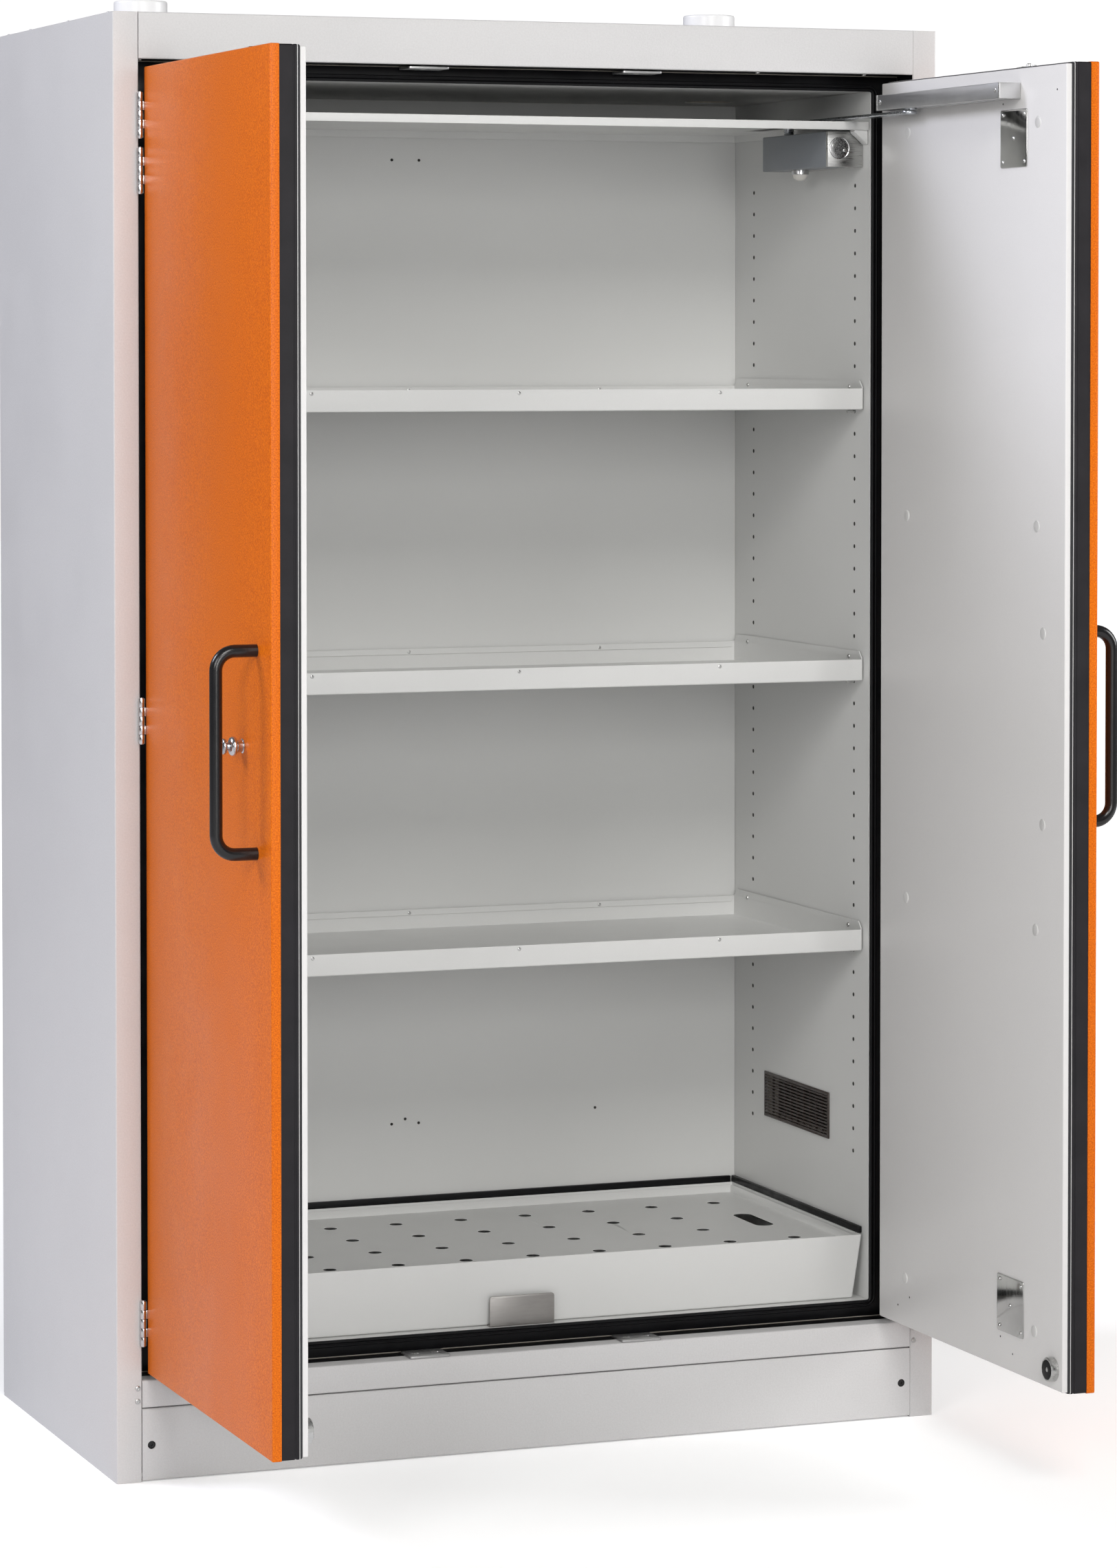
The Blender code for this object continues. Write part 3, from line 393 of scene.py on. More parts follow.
def openBox(bm, low, high, gone):
    block(bm, low, high)
    bm.normal_update()
    faces = [f for f in bm.faces if any(f.normal.dot(Vector(n)) > 0.9 for n in gone)]
    bmesh.ops.delete(bm, geom=faces, context="FACES_ONLY")
    loose = [e for e in bm.edges if not e.link_faces]
    bmesh.ops.delete(bm, geom=loose, context="EDGES")


def foldedStrip(bm, outline, run, radius, segments=3):
    # a sheet folded along an outline of points, drawn out along run, with rounded folds
    corners = [bm.verts.new(point) for point in outline]
    edges = [bm.edges.new(pair) for pair in zip(corners, corners[1:])]
    made = bmesh.ops.extrude_edge_only(bm, edges=edges)["geom"]
    bmesh.ops.translate(bm, verts=picked(made, bmesh.types.BMVert), vec=run)
    roundEdges(bm, [e for e in bm.edges if len(e.link_faces) == 2], radius, segments)


def ringSweep(bm, outline, low, high, depthAxis=1, corner=0.0, cornerSteps=4, closed=True):
    # sweep an outline of (outward, depth) points round a rectangle given by two (across, up) corners
    shape = bmesh.new()
    loops = []
    for outward, depth in outline:
        square = bmesh.ops.create_grid(shape, x_segments=1, y_segments=1, size=0.5)["verts"]
        width = high[0] - low[0] + 2 * outward
        height = high[1] - low[1] + 2 * outward
        centre = ((low[0] + high[0]) / 2, (low[1] + high[1]) / 2, 0)
        bmesh.ops.scale(shape, verts=square, vec=(width, height, 1))
        bmesh.ops.translate(shape, verts=square, vec=centre)
        face = square[0].link_faces[0]
        if corner:
            rounded = bmesh.ops.bevel(shape, geom=square, offset=max(corner + outward, 0.0002),
                offset_type="OFFSET", segments=cornerSteps, profile=0.5, affect="VERTICES", material=-1)
            face = max((f for v in rounded["verts"] for f in v.link_faces), key=lambda f: f.calc_area())
        bmesh.ops.translate(shape, verts=list(face.verts), vec=(0, 0, depth))
        loops.append(list(face.edges))
        bmesh.ops.delete(shape, geom=[face], context="FACES_ONLY")
    pairs = list(zip(loops, loops[1:]))
    if closed:
        pairs.append((loops[-1], loops[0]))
    for first, second in pairs:
        bmesh.ops.bridge_loops(shape, edges=first + second)
    bmesh.ops.recalc_face_normals(shape, faces=shape.faces)
    if depthAxis == 1:        # grid XY becomes across-up, and its Z becomes depth along Y
        bmesh.ops.transform(shape, matrix=Matrix(((1, 0, 0, 0), (0, 0, 1, 0), (0, 1, 0, 0), (0, 0, 0, 1))),
            verts=shape.verts)
        bmesh.ops.reverse_faces(shape, faces=shape.faces)
    append(bm, shape)


def bead(radius, depth, outward=0.0, count=8):
    return [(outward + radius * math.cos(math.tau * k / count), depth + radius * math.sin(math.tau * k / count))
        for k in range(count)]


def makePiece(name, bm, finishes, body, node=None, place=None, slot=None, wall=0.0, side=-1.0, cuts=None,
        edge=0.0, edgeSteps=2, hard=32):
    # node is the frame node that the piece stands in for
    stands = [node] if node else []
    slot = slot or node
    if place is not None:
        bmesh.ops.transform(bm, matrix=place, verts=bm.verts)
        if place.determinant() < 0:
            bmesh.ops.reverse_faces(bm, faces=bm.faces)
    mesh = bpy.data.meshes.new(name)
    bm.to_mesh(mesh)
    bm.free()
    finishes = finishes if isinstance(finishes, list) else [finishes]
    for finish in finishes:
        mesh.materials.append(finish)
    piece = bpy.data.objects.new(name, mesh)
    show(piece)
    if wall:
        skin = piece.modifiers.new("skin", "SOLIDIFY")
        skin.thickness = wall
        skin.offset = side
        skin.use_even_offset = True
    knife = None
    if cuts is not None:
        if place is not None:
            bmesh.ops.transform(cuts, matrix=place, verts=cuts.verts)
            if place.determinant() < 0:
                bmesh.ops.reverse_faces(cuts, faces=cuts.faces)
        knifeMesh = bpy.data.meshes.new(name + "Cuts")
        cuts.to_mesh(knifeMesh)
        cuts.free()
        knife = bpy.data.objects.new(name + "Cuts", knifeMesh)
        show(knife)
        cut = piece.modifiers.new("cut", "BOOLEAN")
        cut.operation = "DIFFERENCE"
        cut.solver = "EXACT"
        cut.object = knife
    if edge:
        soft = piece.modifiers.new("edge", "BEVEL")
        soft.width = edge
        soft.segments = edgeSteps
        soft.limit_method = "ANGLE"
        soft.angle_limit = math.radians(35)
    if wall or edge or knife:
        settled = bpy.data.meshes.new_from_object(piece.evaluated_get(bpy.context.evaluated_depsgraph_get()))
        piece.modifiers.clear()
        piece.data = settled
        settled.name = name
    if knife:
        bpy.data.objects.remove(knife)
    piece.data.shade_smooth()
    piece.data.set_sharp_from_angle(angle=math.radians(hard))
    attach(piece, body)
    if stands:
        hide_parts(*stands)
    return piece


def softCopy(name, node, finish, body, edge, hard=32, steps=2):
    # the frame's own solid with its edges broken
    bm = bmesh.new()
    bm.from_mesh(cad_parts[node].data)
    bmesh.ops.remove_doubles(bm, verts=bm.verts, dist=1e-6)
    bmesh.ops.dissolve_limit(bm, angle_limit=math.radians(0.5), verts=bm.verts, edges=bm.edges)
    return makePiece(name, bm, finish, body, node, edge=edge, edgeSteps=steps, hard=hard)


def paintNode(node, finish):
    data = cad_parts[node].data
    if not data.materials:
        data.materials.append(finish)
    for index in range(len(data.materials)):
        data.materials[index] = finish


def screwHead(bm, centre, direction, radius, proud, drive=None):
    # a domed screw head with a round drive recess
    drive = radius * 0.42 if drive is None else drive
    outline = [(0, proud * 0.35), (drive, proud * 0.35), (drive, proud * 0.96), (radius * 0.62, proud),
        (radius * 0.88, proud * 0.72), (radius, proud * 0.25), (radius, -0.0002), (0, -0.0002)]
    lathe(bm, outline, facing(centre, direction), 16)


sides = (("left", -1), ("right", 1))

# outer casing
casing = {
    "halfWidth": 0.5975, "front": -0.300, "back": 0.2982, "rear": (0.2985, 0.3000), "height": 1.955,
    "sheet": 0.0015, "post": 0.035, "rebateBack": -0.2475, "backFlange": 0.022, "foldRadius": 0.0022, "gap": 0.0003,
    "fasciaBottom": 1.893, "liningFront": -0.2710, "railTop": 0.1365, "railBottom": 0.0995, "plinthTop": 0.098,
    "plinthBottom": 0.0015,
    "screwX": 0.5685, "screwZ": (0.1263, 0.1089), "plinthScrew": (0.5493, 0.0492),
    "fasciaScrews": (-0.5627, -0.496, -0.334, 0.334, 0.496), "roofScrews": (-0.25, -0.05, 0.15, 0.272),
}


def paintShadeOn(piece, test):
    # the second finish, a painted shade, goes on the faces that test picks
    for face in piece.data.polygons:
        if test(face.center, face.normal):
            face.material_index = 1


def rearScrewSpots():
    spots = [(x, z) for x in (-0.5865, 0.5865) for z in (0.06, 0.53, 1.00, 1.47, 1.90)]
    return spots + [(x, z) for x in (-0.36, -0.12, 0.12, 0.36) for z in (0.03, 1.93)]


def makeCasing():
    s = Named(**casing)
    inner = s.halfWidth - s.post
    for label, side in sides:
        plan = [(s.halfWidth - s.backFlange, s.back), (s.halfWidth, s.back), (s.halfWidth, s.front),
            (inner, s.front), (inner, s.rebateBack)]
        bm = bmesh.new()
        foldedStrip(bm, [(side * x, y, 0) for x, y in plan], (0, 0, s.height), s.foldRadius, 4)
        piece = makePiece("casingSide" + label.capitalize(), bm, [casingPaint, sealRubberAndShade], "cabinet",
            "casing_" + label, wall=s.sheet, side=-side)
        # painted shade: the post's rebate face behind the door gap takes the black second finish
        paintShadeOn(piece, lambda c, n: abs(c.x) < inner + 0.003 and c.y > s.front + 0.003 and c.y < 0)
    half = inner - s.gap
    run = (2 * half, 0, 0)
    bm = bmesh.new()
    foldedStrip(bm, [(-half, s.rebateBack, s.height), (-half, s.front, s.height),
        (-half, s.front, s.fasciaBottom), (-half, s.rebateBack, s.fasciaBottom)], run, s.foldRadius, 4)
    fascia = makePiece("frontFascia", bm, [casingPaint, sealRubberAndShade], "cabinet", "front_fascia", wall=s.sheet,
        side=1)
    # painted shade: the fascia's underside behind the door gap takes the black second finish
    paintShadeOn(fascia, lambda c, n: c.z < s.fasciaBottom + 0.002 and c.y > s.front + 0.0035)
    bm = bmesh.new()
    foldedStrip(bm, [(-half, -0.270, s.railBottom), (-half, s.front, s.railBottom), (-half, s.front, s.railTop),
        (-half, s.liningFront, s.railTop), (-half, s.rebateBack, s.railTop)], run, s.foldRadius, 4)
    rail = makePiece("bottomRail", bm, [casingPaint, sealRubberAndShade], "cabinet", "bottom_rail", wall=s.sheet)
    # painted shade: the rail's top behind the door gap takes the black second finish
    paintShadeOn(rail, lambda c, n: c.z > s.railTop - 0.004 and c.y > s.liningFront - 0.001)
    bm = bmesh.new()
    foldedStrip(bm, [(-half, -0.280, s.plinthTop), (-half, s.front, s.plinthTop),
        (-half, s.front, s.plinthBottom), (-half, -0.280, s.plinthBottom)], run, s.foldRadius, 4)
    holes = bmesh.new()
    x, z = s.plinthScrew
    for side in (-1, 1):
        rod(holes, (side * x, s.front - 0.01, z), (side * x, s.front + 0.01, z), 0.0055, 28)
    makePiece("plinthPanel", bm, casingPaint, "cabinet", "plinth_panel", wall=s.sheet, side=1, cuts=holes)
    softCopy("roofSheet", "casing_top", casingPaint, "cabinet", 0.0005, hard=20)
    bm = bmesh.new()
    block(bm, (0.0005 - s.halfWidth, s.rear[0], 0.004), (s.halfWidth - 0.0005, s.rear[1], s.height))
    holes = bmesh.new()
    for x, z in rearScrewSpots():
        rod(holes, (x, 0.28, z), (x, 0.32, z), 0.0046, 20)
    makePiece("rearSheet", bm, casingPaint, "cabinet", "casing_back", cuts=holes, edge=0.0003, hard=20)
    softCopy("baseFrame", "base_frame", casingPaint, "cabinet", 0.0006)


def makeCasingScrews():
    s = Named(**casing)
    bm = bmesh.new()
    for side in (-1, 1):
        for z in s.screwZ:
            screwHead(bm, (side * s.screwX, s.front, z), (0, -1, 0), 0.0038, 0.0016)
        for y in s.roofScrews:
            screwHead(bm, (side * 0.588, y, s.height), (0, 0, 1), 0.0042, 0.0024)
    for x in s.fasciaScrews:
        screwHead(bm, (min(max(x, -0.556), 0.556), -0.281, s.fasciaBottom), (0, 0, -1), 0.0035, 0.0016)
    for x, z in rearScrewSpots():
        screwHead(bm, (x, 0.2984, z), (0, 1, 0), 0.0042, 0.0014)
    makePiece("casingScrews", bm, zincPlate, "cabinet", slot="keeper_plate")
    bm = bmesh.new()
    x, z = s.plinthScrew
    for side in (-1, 1):
        outline = [(0, -0.0006), (0.0017, -0.0006), (0.0017, 0.0008), (0.0040, 0.0006), (0.0053, -0.0004),
            (0.0053, -0.0052), (0, -0.0052)]
        lathe(bm, outline, facing((side * x, s.front + 0.0016, z), (0, -1, 0)), 24)
    makePiece("plinthPlugs", bm, darkPaint, "cabinet", slot="frame_seal")


makeCamera()
makeLights()
makeCasing()
makeCasingScrews()
print("casing built")


# liner, its peg holes and the frame seal
liner = {
    "wallX": 0.5215, "back": 0.239, "front": -0.2465, "floor": 0.1595, "ceiling": 1.872,
    "pegTop": 1.7407, "pegPitch": 0.032, "pegRows": (-0.1954, 0.169), "pegCount": 44, "pegRadius": 0.0030,
    "rearRadius": 0.0022,
    "backHoles": ((-0.024, 1.7850), (0.018, 1.7850), (-0.0259, 0.3690), (-0.0049, 0.3756), (0.0161, 0.3687),
                  (0.2951, 0.3759)),
}


def makeLiner():
    s = Named(**liner)
    for node in ("liner_left", "liner_right", "liner_back", "liner_ceiling", "liner_floor"):
        paintNode(node, linerPaint)
    # painted shade: dark discs on the walls stand in for the depth of the peg holes and the rear holes
    bm = bmesh.new()
    for side in (-1, 1):
        for y in s.pegRows:
            for k in range(s.pegCount):
                z = s.pegTop - k * s.pegPitch
                if z > s.floor + 0.1:
                    x = side * s.wallX
                    rod(bm, (x + side * 0.001, y, z), (x - side * 0.00012, y, z), s.pegRadius, 10)
    for x, z in s.backHoles:
        rod(bm, (x, s.back + 0.001, z), (x, s.back - 0.00012, z), s.rearRadius, 10)
    makePiece("pegHoleShade", bm, holeShade, "cabinet", slot="frame_seal")
    bm = bmesh.new()
    for x, z in s.backHoles:      # pressed rim of each rear hole
        r = s.rearRadius
        lathe(bm, [(r, 0.0), (r + 0.0002, 0.00022), (r + 0.0008, 0.0001), (r + 0.0010, -0.0001)],
            facing((x, s.back, z), (0, -1, 0)), 12)
    makePiece("rearHoleRims", bm, linerPaint, "cabinet", slot="liner_back")


frameSeal = {
    "outer": (0.5615, 0.1380, 1.8918), "inner": (0.5222, 0.1602, 1.8713), "face": -0.2470, "lip": 0.0025,
    "bulb": 0.0027, "rib": 0.0016,
}


def makeFrameSeal():
    s = Named(**frameSeal)
    x, low, high = s.inner
    outerX, outerLow, outerHigh = s.outer
    bm = bmesh.new()
    shape = bmesh.new()
    block(shape, (-outerX, s.face - s.lip, outerLow), (outerX, s.face, outerHigh))
    hole = bmesh.new()
    block(hole, (-x, s.face - 0.02, low), (x, s.face + 0.02, high))
    makePiece("sealBand", shape, sealRubberAndShade, "cabinet", "frame_seal", cuts=hole, edge=0.0006)
    depth = s.face - 0.0026
    ringSweep(bm, bead(s.bulb, depth, 0.0024, 12), (-x, low), (x, high), corner=0.004)
    ringSweep(bm, bead(s.rib, depth + 0.0003, 0.0080, 8), (-x, low), (x, high), corner=0.006)
    makePiece("sealBulb", bm, sealRubberAndShade, "cabinet", slot="frame_seal", hard=60)


makeLiner()
makeFrameSeal()
print("liner and frame seal built")


# shelves
shelf = {
    "x": 0.5195, "front": -0.2294, "back": 0.236, "lip": 0.030, "sideLip": 0.041, "sheet": 0.0012, "fold": 0.0020,
    "bottoms": {"shelf_upper": 1.4235, "shelf_middle": 1.0395, "shelf_lower": 0.6555},
    "rivetX": (-0.30, 0.0, 0.30), "rivetDrop": 0.005, "rivetRadius": 0.0026, "boltY": (-0.1835, 0.1835), "boltUp": 0.032,
    "pegRadius": 0.0024, "hem": 0.0026,
}


def makeShelf(node, bottom):
    s = Named(**shelf)
    bm = bmesh.new()
    openBox(bm, (-s.x, s.front, bottom), (s.x, s.back, bottom + s.lip), [(0, 0, 1)])
    rise = s.sideLip - s.lip
    tops = [e for e in bm.edges if len(e.link_faces) == 1 and abs(e.verts[0].co.x - e.verts[1].co.x) < 1e-6]
    made = bmesh.ops.extrude_edge_only(bm, edges=tops)["geom"]
    raised = picked(made, bmesh.types.BMVert)
    bmesh.ops.translate(bm, verts=raised, vec=(0, 0, rise))
    bmesh.ops.translate(bm, verts=[v for v in raised if v.co.y < 0], vec=(0, rise, 0))
    bmesh.ops.translate(bm, verts=[v for v in raised if v.co.y > 0], vec=(0, -rise, 0))
    roundEdges(bm, foldEdges(bm), s.fold, 3)
    name = "".join(part.capitalize() if k else part for k, part in enumerate(node.split("_"))) + "Tray"
    makePiece(name, bm, linerPaint, "cabinet", node, wall=s.sheet)
    bm = bmesh.new()                 # rolled hems along the front and rear lips
    for y, inward in ((s.front, 1), (s.back, -1)):
        low = (-s.x + 0.006, min(y + inward * s.sheet, y + inward * s.hem), bottom + s.lip - 0.009)
        high = (s.x - 0.006, max(y + inward * s.sheet, y + inward * s.hem), bottom + s.lip - 0.0002)
        roundEdges(bm, [e for v in block(bm, low, high) for e in v.link_edges], 0.0004, 1)
    makePiece(name + "Hems", bm, linerPaint, "cabinet", slot=node)
    bm = bmesh.new()
    level = bottom + s.lip - s.rivetDrop
    for x in s.rivetX:
        screwHead(bm, (x, s.front, level), (0, -1, 0), s.rivetRadius, 0.0007, 0.0009)
        screwHead(bm, (x, s.back - s.hem, level), (0, -1, 0), s.rivetRadius, 0.0008, 0.0009)
    for side in (-1, 1):
        for y in s.boltY:
            screwHead(bm, (side * (s.x - s.sheet), y, bottom + s.boltUp), (-side, 0, 0), 0.0034, 0.0018)
    makePiece(name + "Rivets", bm, zincPlate, "cabinet", slot="keeper_plate")


def makeShelfPegs():
    s = Named(**shelf)
    bm = bmesh.new()
    for bottom in s.bottoms.values():
        z = bottom - s.pegRadius - 0.0003
        for side in (-1, 1):
            for y in liner["pegRows"]:
                x = side * liner["wallX"]
                rod(bm, (x + side * 0.004, y, z), (x - side * 0.012, y, z), s.pegRadius, 14)
    roundEdges(bm, foldEdges(bm, 60), 0.0004, 1)
    makePiece("shelfPegs", bm, zincPlate, "cabinet", slot="keeper_plate")


def makeShelves():
    for node, bottom in shelf["bottoms"].items():
        makeShelf(node, bottom)
    makeShelfPegs()
    softCopy("topShelfPanel", "top_shelf", linerPaint, "cabinet", 0.0005)


# sump tray, perforated insert, gasket and keeper
sump = {
    "x": 0.517, "y": (-0.2366, 0.235), "bottom": 0.1598, "top": 0.2515, "taper": 0.010, "sheet": 0.0015, "fold": 0.0030,
    "holeInset": 0.012,      # the insert's rim, kept free of the painted shade on the hole walls
    "gasket": {"low": 0.2519, "high": 0.2616, "thick": 0.0062, "cornerGap": 0.0022},
    "keeper": {"half": 0.0475, "front": -0.2405, "rear": -0.2275, "foot": 0.1598, "top": 0.202, "corner": 0.004},
}


def makeSump():
    s = Named(**sump)
    bm = bmesh.new()
    openBox(bm, (-s.x, s.y[0], s.bottom), (s.x, s.y[1], s.top), [(0, 0, 1)])
    base = [v for v in bm.verts if v.co.z < (s.bottom + s.top) / 2]
    middle = Vector((0, (s.y[0] + s.y[1]) / 2, 0))
    size = Vector((2 * s.x, s.y[1] - s.y[0], 1))
    shrink = (1 - 2 * s.taper / size.x, 1 - 2 * s.taper / size.y, 1)
    bmesh.ops.scale(bm, verts=base, vec=shrink, space=Matrix.Translation(-middle))
    roundEdges(bm, foldEdges(bm), s.fold, 4)
    makePiece("sumpTray", bm, linerPaint, "cabinet", "sump_tray", wall=s.sheet)
    insert = softCopy("perforatedInsert", "perforated_insert", [linerPaint, holeShade], "insert", 0.0003, steps=1)
    reach = max(v.co.x for v in insert.data.vertices) - s.holeInset
    rear = max(v.co.y for v in insert.data.vertices) - s.holeInset
    fore = min(v.co.y for v in insert.data.vertices) + s.holeInset
    # painted shade: the walls of the insert's holes take the dark second finish
    paintShadeOn(insert, lambda centre,
        normal: abs(normal.z) < 0.5 and abs(centre.x) < reach and fore < centre.y < rear)
    g = s.gasket
    bm = bmesh.new()
    wall = liner["wallX"] - 0.0003
    rear, front, inset = liner["back"] - 0.0003, s.y[0] + 0.010, g["thick"] + g["cornerGap"]
    runs = [((-wall + inset, rear - g["thick"], g["low"]), (wall - inset, rear, g["high"]))]
    for near, far in ((-wall, -wall + g["thick"]), (wall - g["thick"], wall)):
        runs.append(((near, front, g["low"]), (far, rear - g["cornerGap"], g["high"])))
    for low, high in runs:
        roundEdges(bm, [e for v in block(bm, low, high) for e in v.link_edges], 0.0012, 2)
    makePiece("trayGasket", bm, sealRubberAndShade, "cabinet", slot="frame_seal")
    k = s.keeper
    bm = bmesh.new()
    foldedStrip(bm, [(-k["half"], k["rear"], k["foot"]), (-k["half"], k["front"], k["foot"]),
        (-k["half"], k["front"], k["top"])], (2 * k["half"], 0, 0), 0.0020, 3)
    tips = [v for v in bm.verts if v.co.z > k["top"] - 1e-5]
    bmesh.ops.bevel(bm, geom=tips, offset=k["corner"], offset_type="OFFSET", segments=4, profile=0.5,
        affect="VERTICES", material=-1)
    makePiece("keeperPlate", bm, keeperSteel, "cabinet", "keeper_plate", wall=0.0015, edge=0.0002)


# striker plates on the sill and under the lintel
striker = {"station": 0.155, "half": 0.029, "y": (-0.2990, -0.2560),
           "upper": (1.8876, 1.8906), "lower": (0.1368, 0.1398),
           "slotX": 0.0145, "slotHalf": 0.0050, "slotRadius": 0.0019, "pinY": -0.2765, "pinRadius": 0.006}


def makeStrikers():
    s = Named(**striker)
    for level in ("upper", "lower"):
        low, high = striker[level]
        for label, side in sides:
            x = side * s.station
            bm = bmesh.new()
            block(bm, (x - s.half, s.y[0], low), (x + s.half, s.y[1], high))
            uprights = [e for e in bm.edges if abs(e.verts[0].co.z - e.verts[1].co.z) > 1e-6]
            roundEdges(bm, uprights, 0.003, 4)
            cuts = bmesh.new()
            for step in (-1, 1):
                centre = x + step * s.slotX
                y = (s.y[0] + s.y[1]) / 2
                block(cuts, (centre - s.slotHalf, y - s.slotRadius, low - 0.01),
                    (centre + s.slotHalf, y + s.slotRadius, high + 0.01))
            if level == "upper":
                rod(cuts, (x, s.pinY, low - 0.01), (x, s.pinY, high + 0.01), s.pinRadius, 24)
            node = "striker_%s_%s" % (level, label)
            makePiece("striker" + level.capitalize() + label.capitalize(), bm, strikerAlloy, "cabinet", node,
                cuts=cuts, edge=0.0005)
            bm = bmesh.new()
            up = 1 if level == "lower" else -1
            face = high if level == "lower" else low
            for step in (-1, 1):
                screwHead(bm, (x + step * s.slotX, (s.y[0] + s.y[1]) / 2, face - up * 0.0006), (0, 0, up),
                    0.0030, 0.0008)
            makePiece("strikerScrews" + level.capitalize() + label.capitalize(), bm, zincPlate, "cabinet",
                slot="striker_upper_left")


# roof outlets and inner grilles
outlet = {"x": 0.434, "y": 0.135, "base": 1.9553, "top": 1.999, "radius": 0.0378, "bore": 0.0355, "soft": 0.0035}
grille = {"y": (-0.113, 0.121), "z": (0.369, 0.436), "rim": 0.005, "plate": 0.0022, "slats": 12, "bars": 9}


def makeOutlets():
    s = Named(**outlet)
    for label, side in sides:
        outline = [(s.bore, s.base), (s.radius, s.base)]
        for k in range(6):
            angle = math.radians(18 * k)
            reach = (s.radius - s.bore) * 0.98
            outline.append((s.radius - reach * (1 - math.cos(angle)), s.top - s.soft * (1 - math.sin(angle))))
        outline.append((s.bore, s.top - s.soft))
        outline.append((s.bore, s.base))
        bm = bmesh.new()
        lathe(bm, outline, Matrix.Translation((side * s.x, s.y, 0)), 64)
        makePiece("roofOutlet" + label.capitalize(), bm, whitePlastic, "cabinet", "roof_spigot_" + label, hard=40)


def makeGrilles():
    s = Named(**grille)
    face = liner["wallX"] - 0.0003
    for label, side in sides:
        near, far = sorted((side * (face - s.plate), side * face))
        bm = bmesh.new()
        block(bm, (near, s.y[0], s.z[0]), (far, s.y[1], s.z[1]))
        cuts = bmesh.new()
        block(cuts, (near - 0.01, s.y[0] + s.rim, s.z[0] + s.rim), (far + 0.01, s.y[1] - s.rim, s.z[1] - s.rim))
        makePiece("grilleRim" + label.capitalize(), bm, grillePlastic, "cabinet", "vent_grille_" + label,
            cuts=cuts, edge=0.0008)
        bm = bmesh.new()
        pitch = (s.z[1] - s.z[0] - 2 * s.rim) / s.slats
        for k in range(s.slats):      # tilted slats
            z = s.z[0] + s.rim + pitch * (k + 0.5)
            verts = block(bm, (-0.0011, s.y[0] + s.rim - 0.0005, -0.0012),
                (0.0011, s.y[1] - s.rim + 0.0005, 0.0012))
            bmesh.ops.rotate(bm, verts=verts, cent=(0, 0, 0),
                matrix=Matrix.Rotation(side * math.radians(28), 3, "Y"))
            bmesh.ops.translate(bm, verts=verts, vec=(side * (face - 0.0012), 0, z))
        step = (s.y[1] - s.y[0] - 2 * s.rim) / (s.bars + 1)
        for k in range(s.bars):
            y = s.y[0] + s.rim + step * (k + 1)
            block(bm, (min(side * face, side * (face + 0.0030)), y - 0.0009, s.z[0] + s.rim - 0.0005),
                (max(side * face, side * (face + 0.0030)), y + 0.0009, s.z[1] - s.rim + 0.0005))
        makePiece("grilleSlats" + label.capitalize(), bm, grillePlastic, "cabinet", slot="vent_grille_" + label)
        bm = bmesh.new()                 # painted shade: a dark sheet at the back of the air pocket
        x = side * 0.5440
        block(bm, (min(x, x + side * 0.0008), s.y[0] + 0.001, s.z[0] + 0.001),
            (max(x, x + side * 0.0008), s.y[1] - 0.001, s.z[1] - 0.001))
        makePiece("airPocketShade" + label.capitalize(), bm, holeShade, "cabinet", slot="vent_grille_" + label)


makeShelves()
makeSump()
makeStrikers()
makeOutlets()
makeGrilles()
print("shelves, sump, strikers and vents built")


# doors: every piece is drawn in along, deep and height, then turned into place
hinge = {"x": 0.562, "y": -0.305, "left": 90.3, "right": 90.8, "centres": (1.8185, 1.7453, 1.0172, 0.2139),
         "length": 0.0606, "knuckle": 0.0044, "pin": 0.0022}
door = {
    "near": 0.003, "far": 0.561, "bottom": 0.147, "top": 1.882, "skinFront": 0.005, "skinEnd": 0.017, "stripEnd": 0.0405,
    "panelStart": 0.0445, "face": 0.052, "sheet": 0.0012, "skinFold": 0.0018, "panelFold": 0.0016, "cord": 0.0019,
    "coverAlong": 0.4115, "coverZ": (1.7875, 0.2380), "coverSide": 0.0764, "coverInset": 0.007, "coverThick": 0.0015,
    "caps": [(0.088, z) for z in (1.8075, 1.279, 0.749, 0.2175)]
            + [(0.479, z) for z in (1.8067, 1.2777, 0.7471, 0.2161)]
            + [(0.498, z) for z in (1.138, 0.887)],
    "capRadius": 0.008, "holes": ((0.378, 1.834), (0.533, 1.8465), (0.0655, 0.1764), (0.1025, 0.1932), (0.381, 0.1914),
                                  (0.417, 0.1743)),
    "latchAlong": 0.407, "latchDeep": 0.0285, "latchProud": 0.005, "latchRadius": 0.004,
    "magnet": (0.5345, 0.177), "magnetRadius": 0.0158, "magnetProud": 0.0102,
}
handle = {"along": 0.5015, "low": 0.8895, "high": 1.1400, "standOff": 0.0522, "radius": 0.008, "bend": 0.024}


def doorPlace(side):
    angle = math.radians(hinge["left" if side < 0 else "right"])
    place = Matrix.Translation((side * hinge["x"], hinge["y"], 0)) @ Matrix.Rotation(side * angle, 4, "Z")
    return place if side < 0 else place @ Matrix.Diagonal((-1, 1, 1, 1))


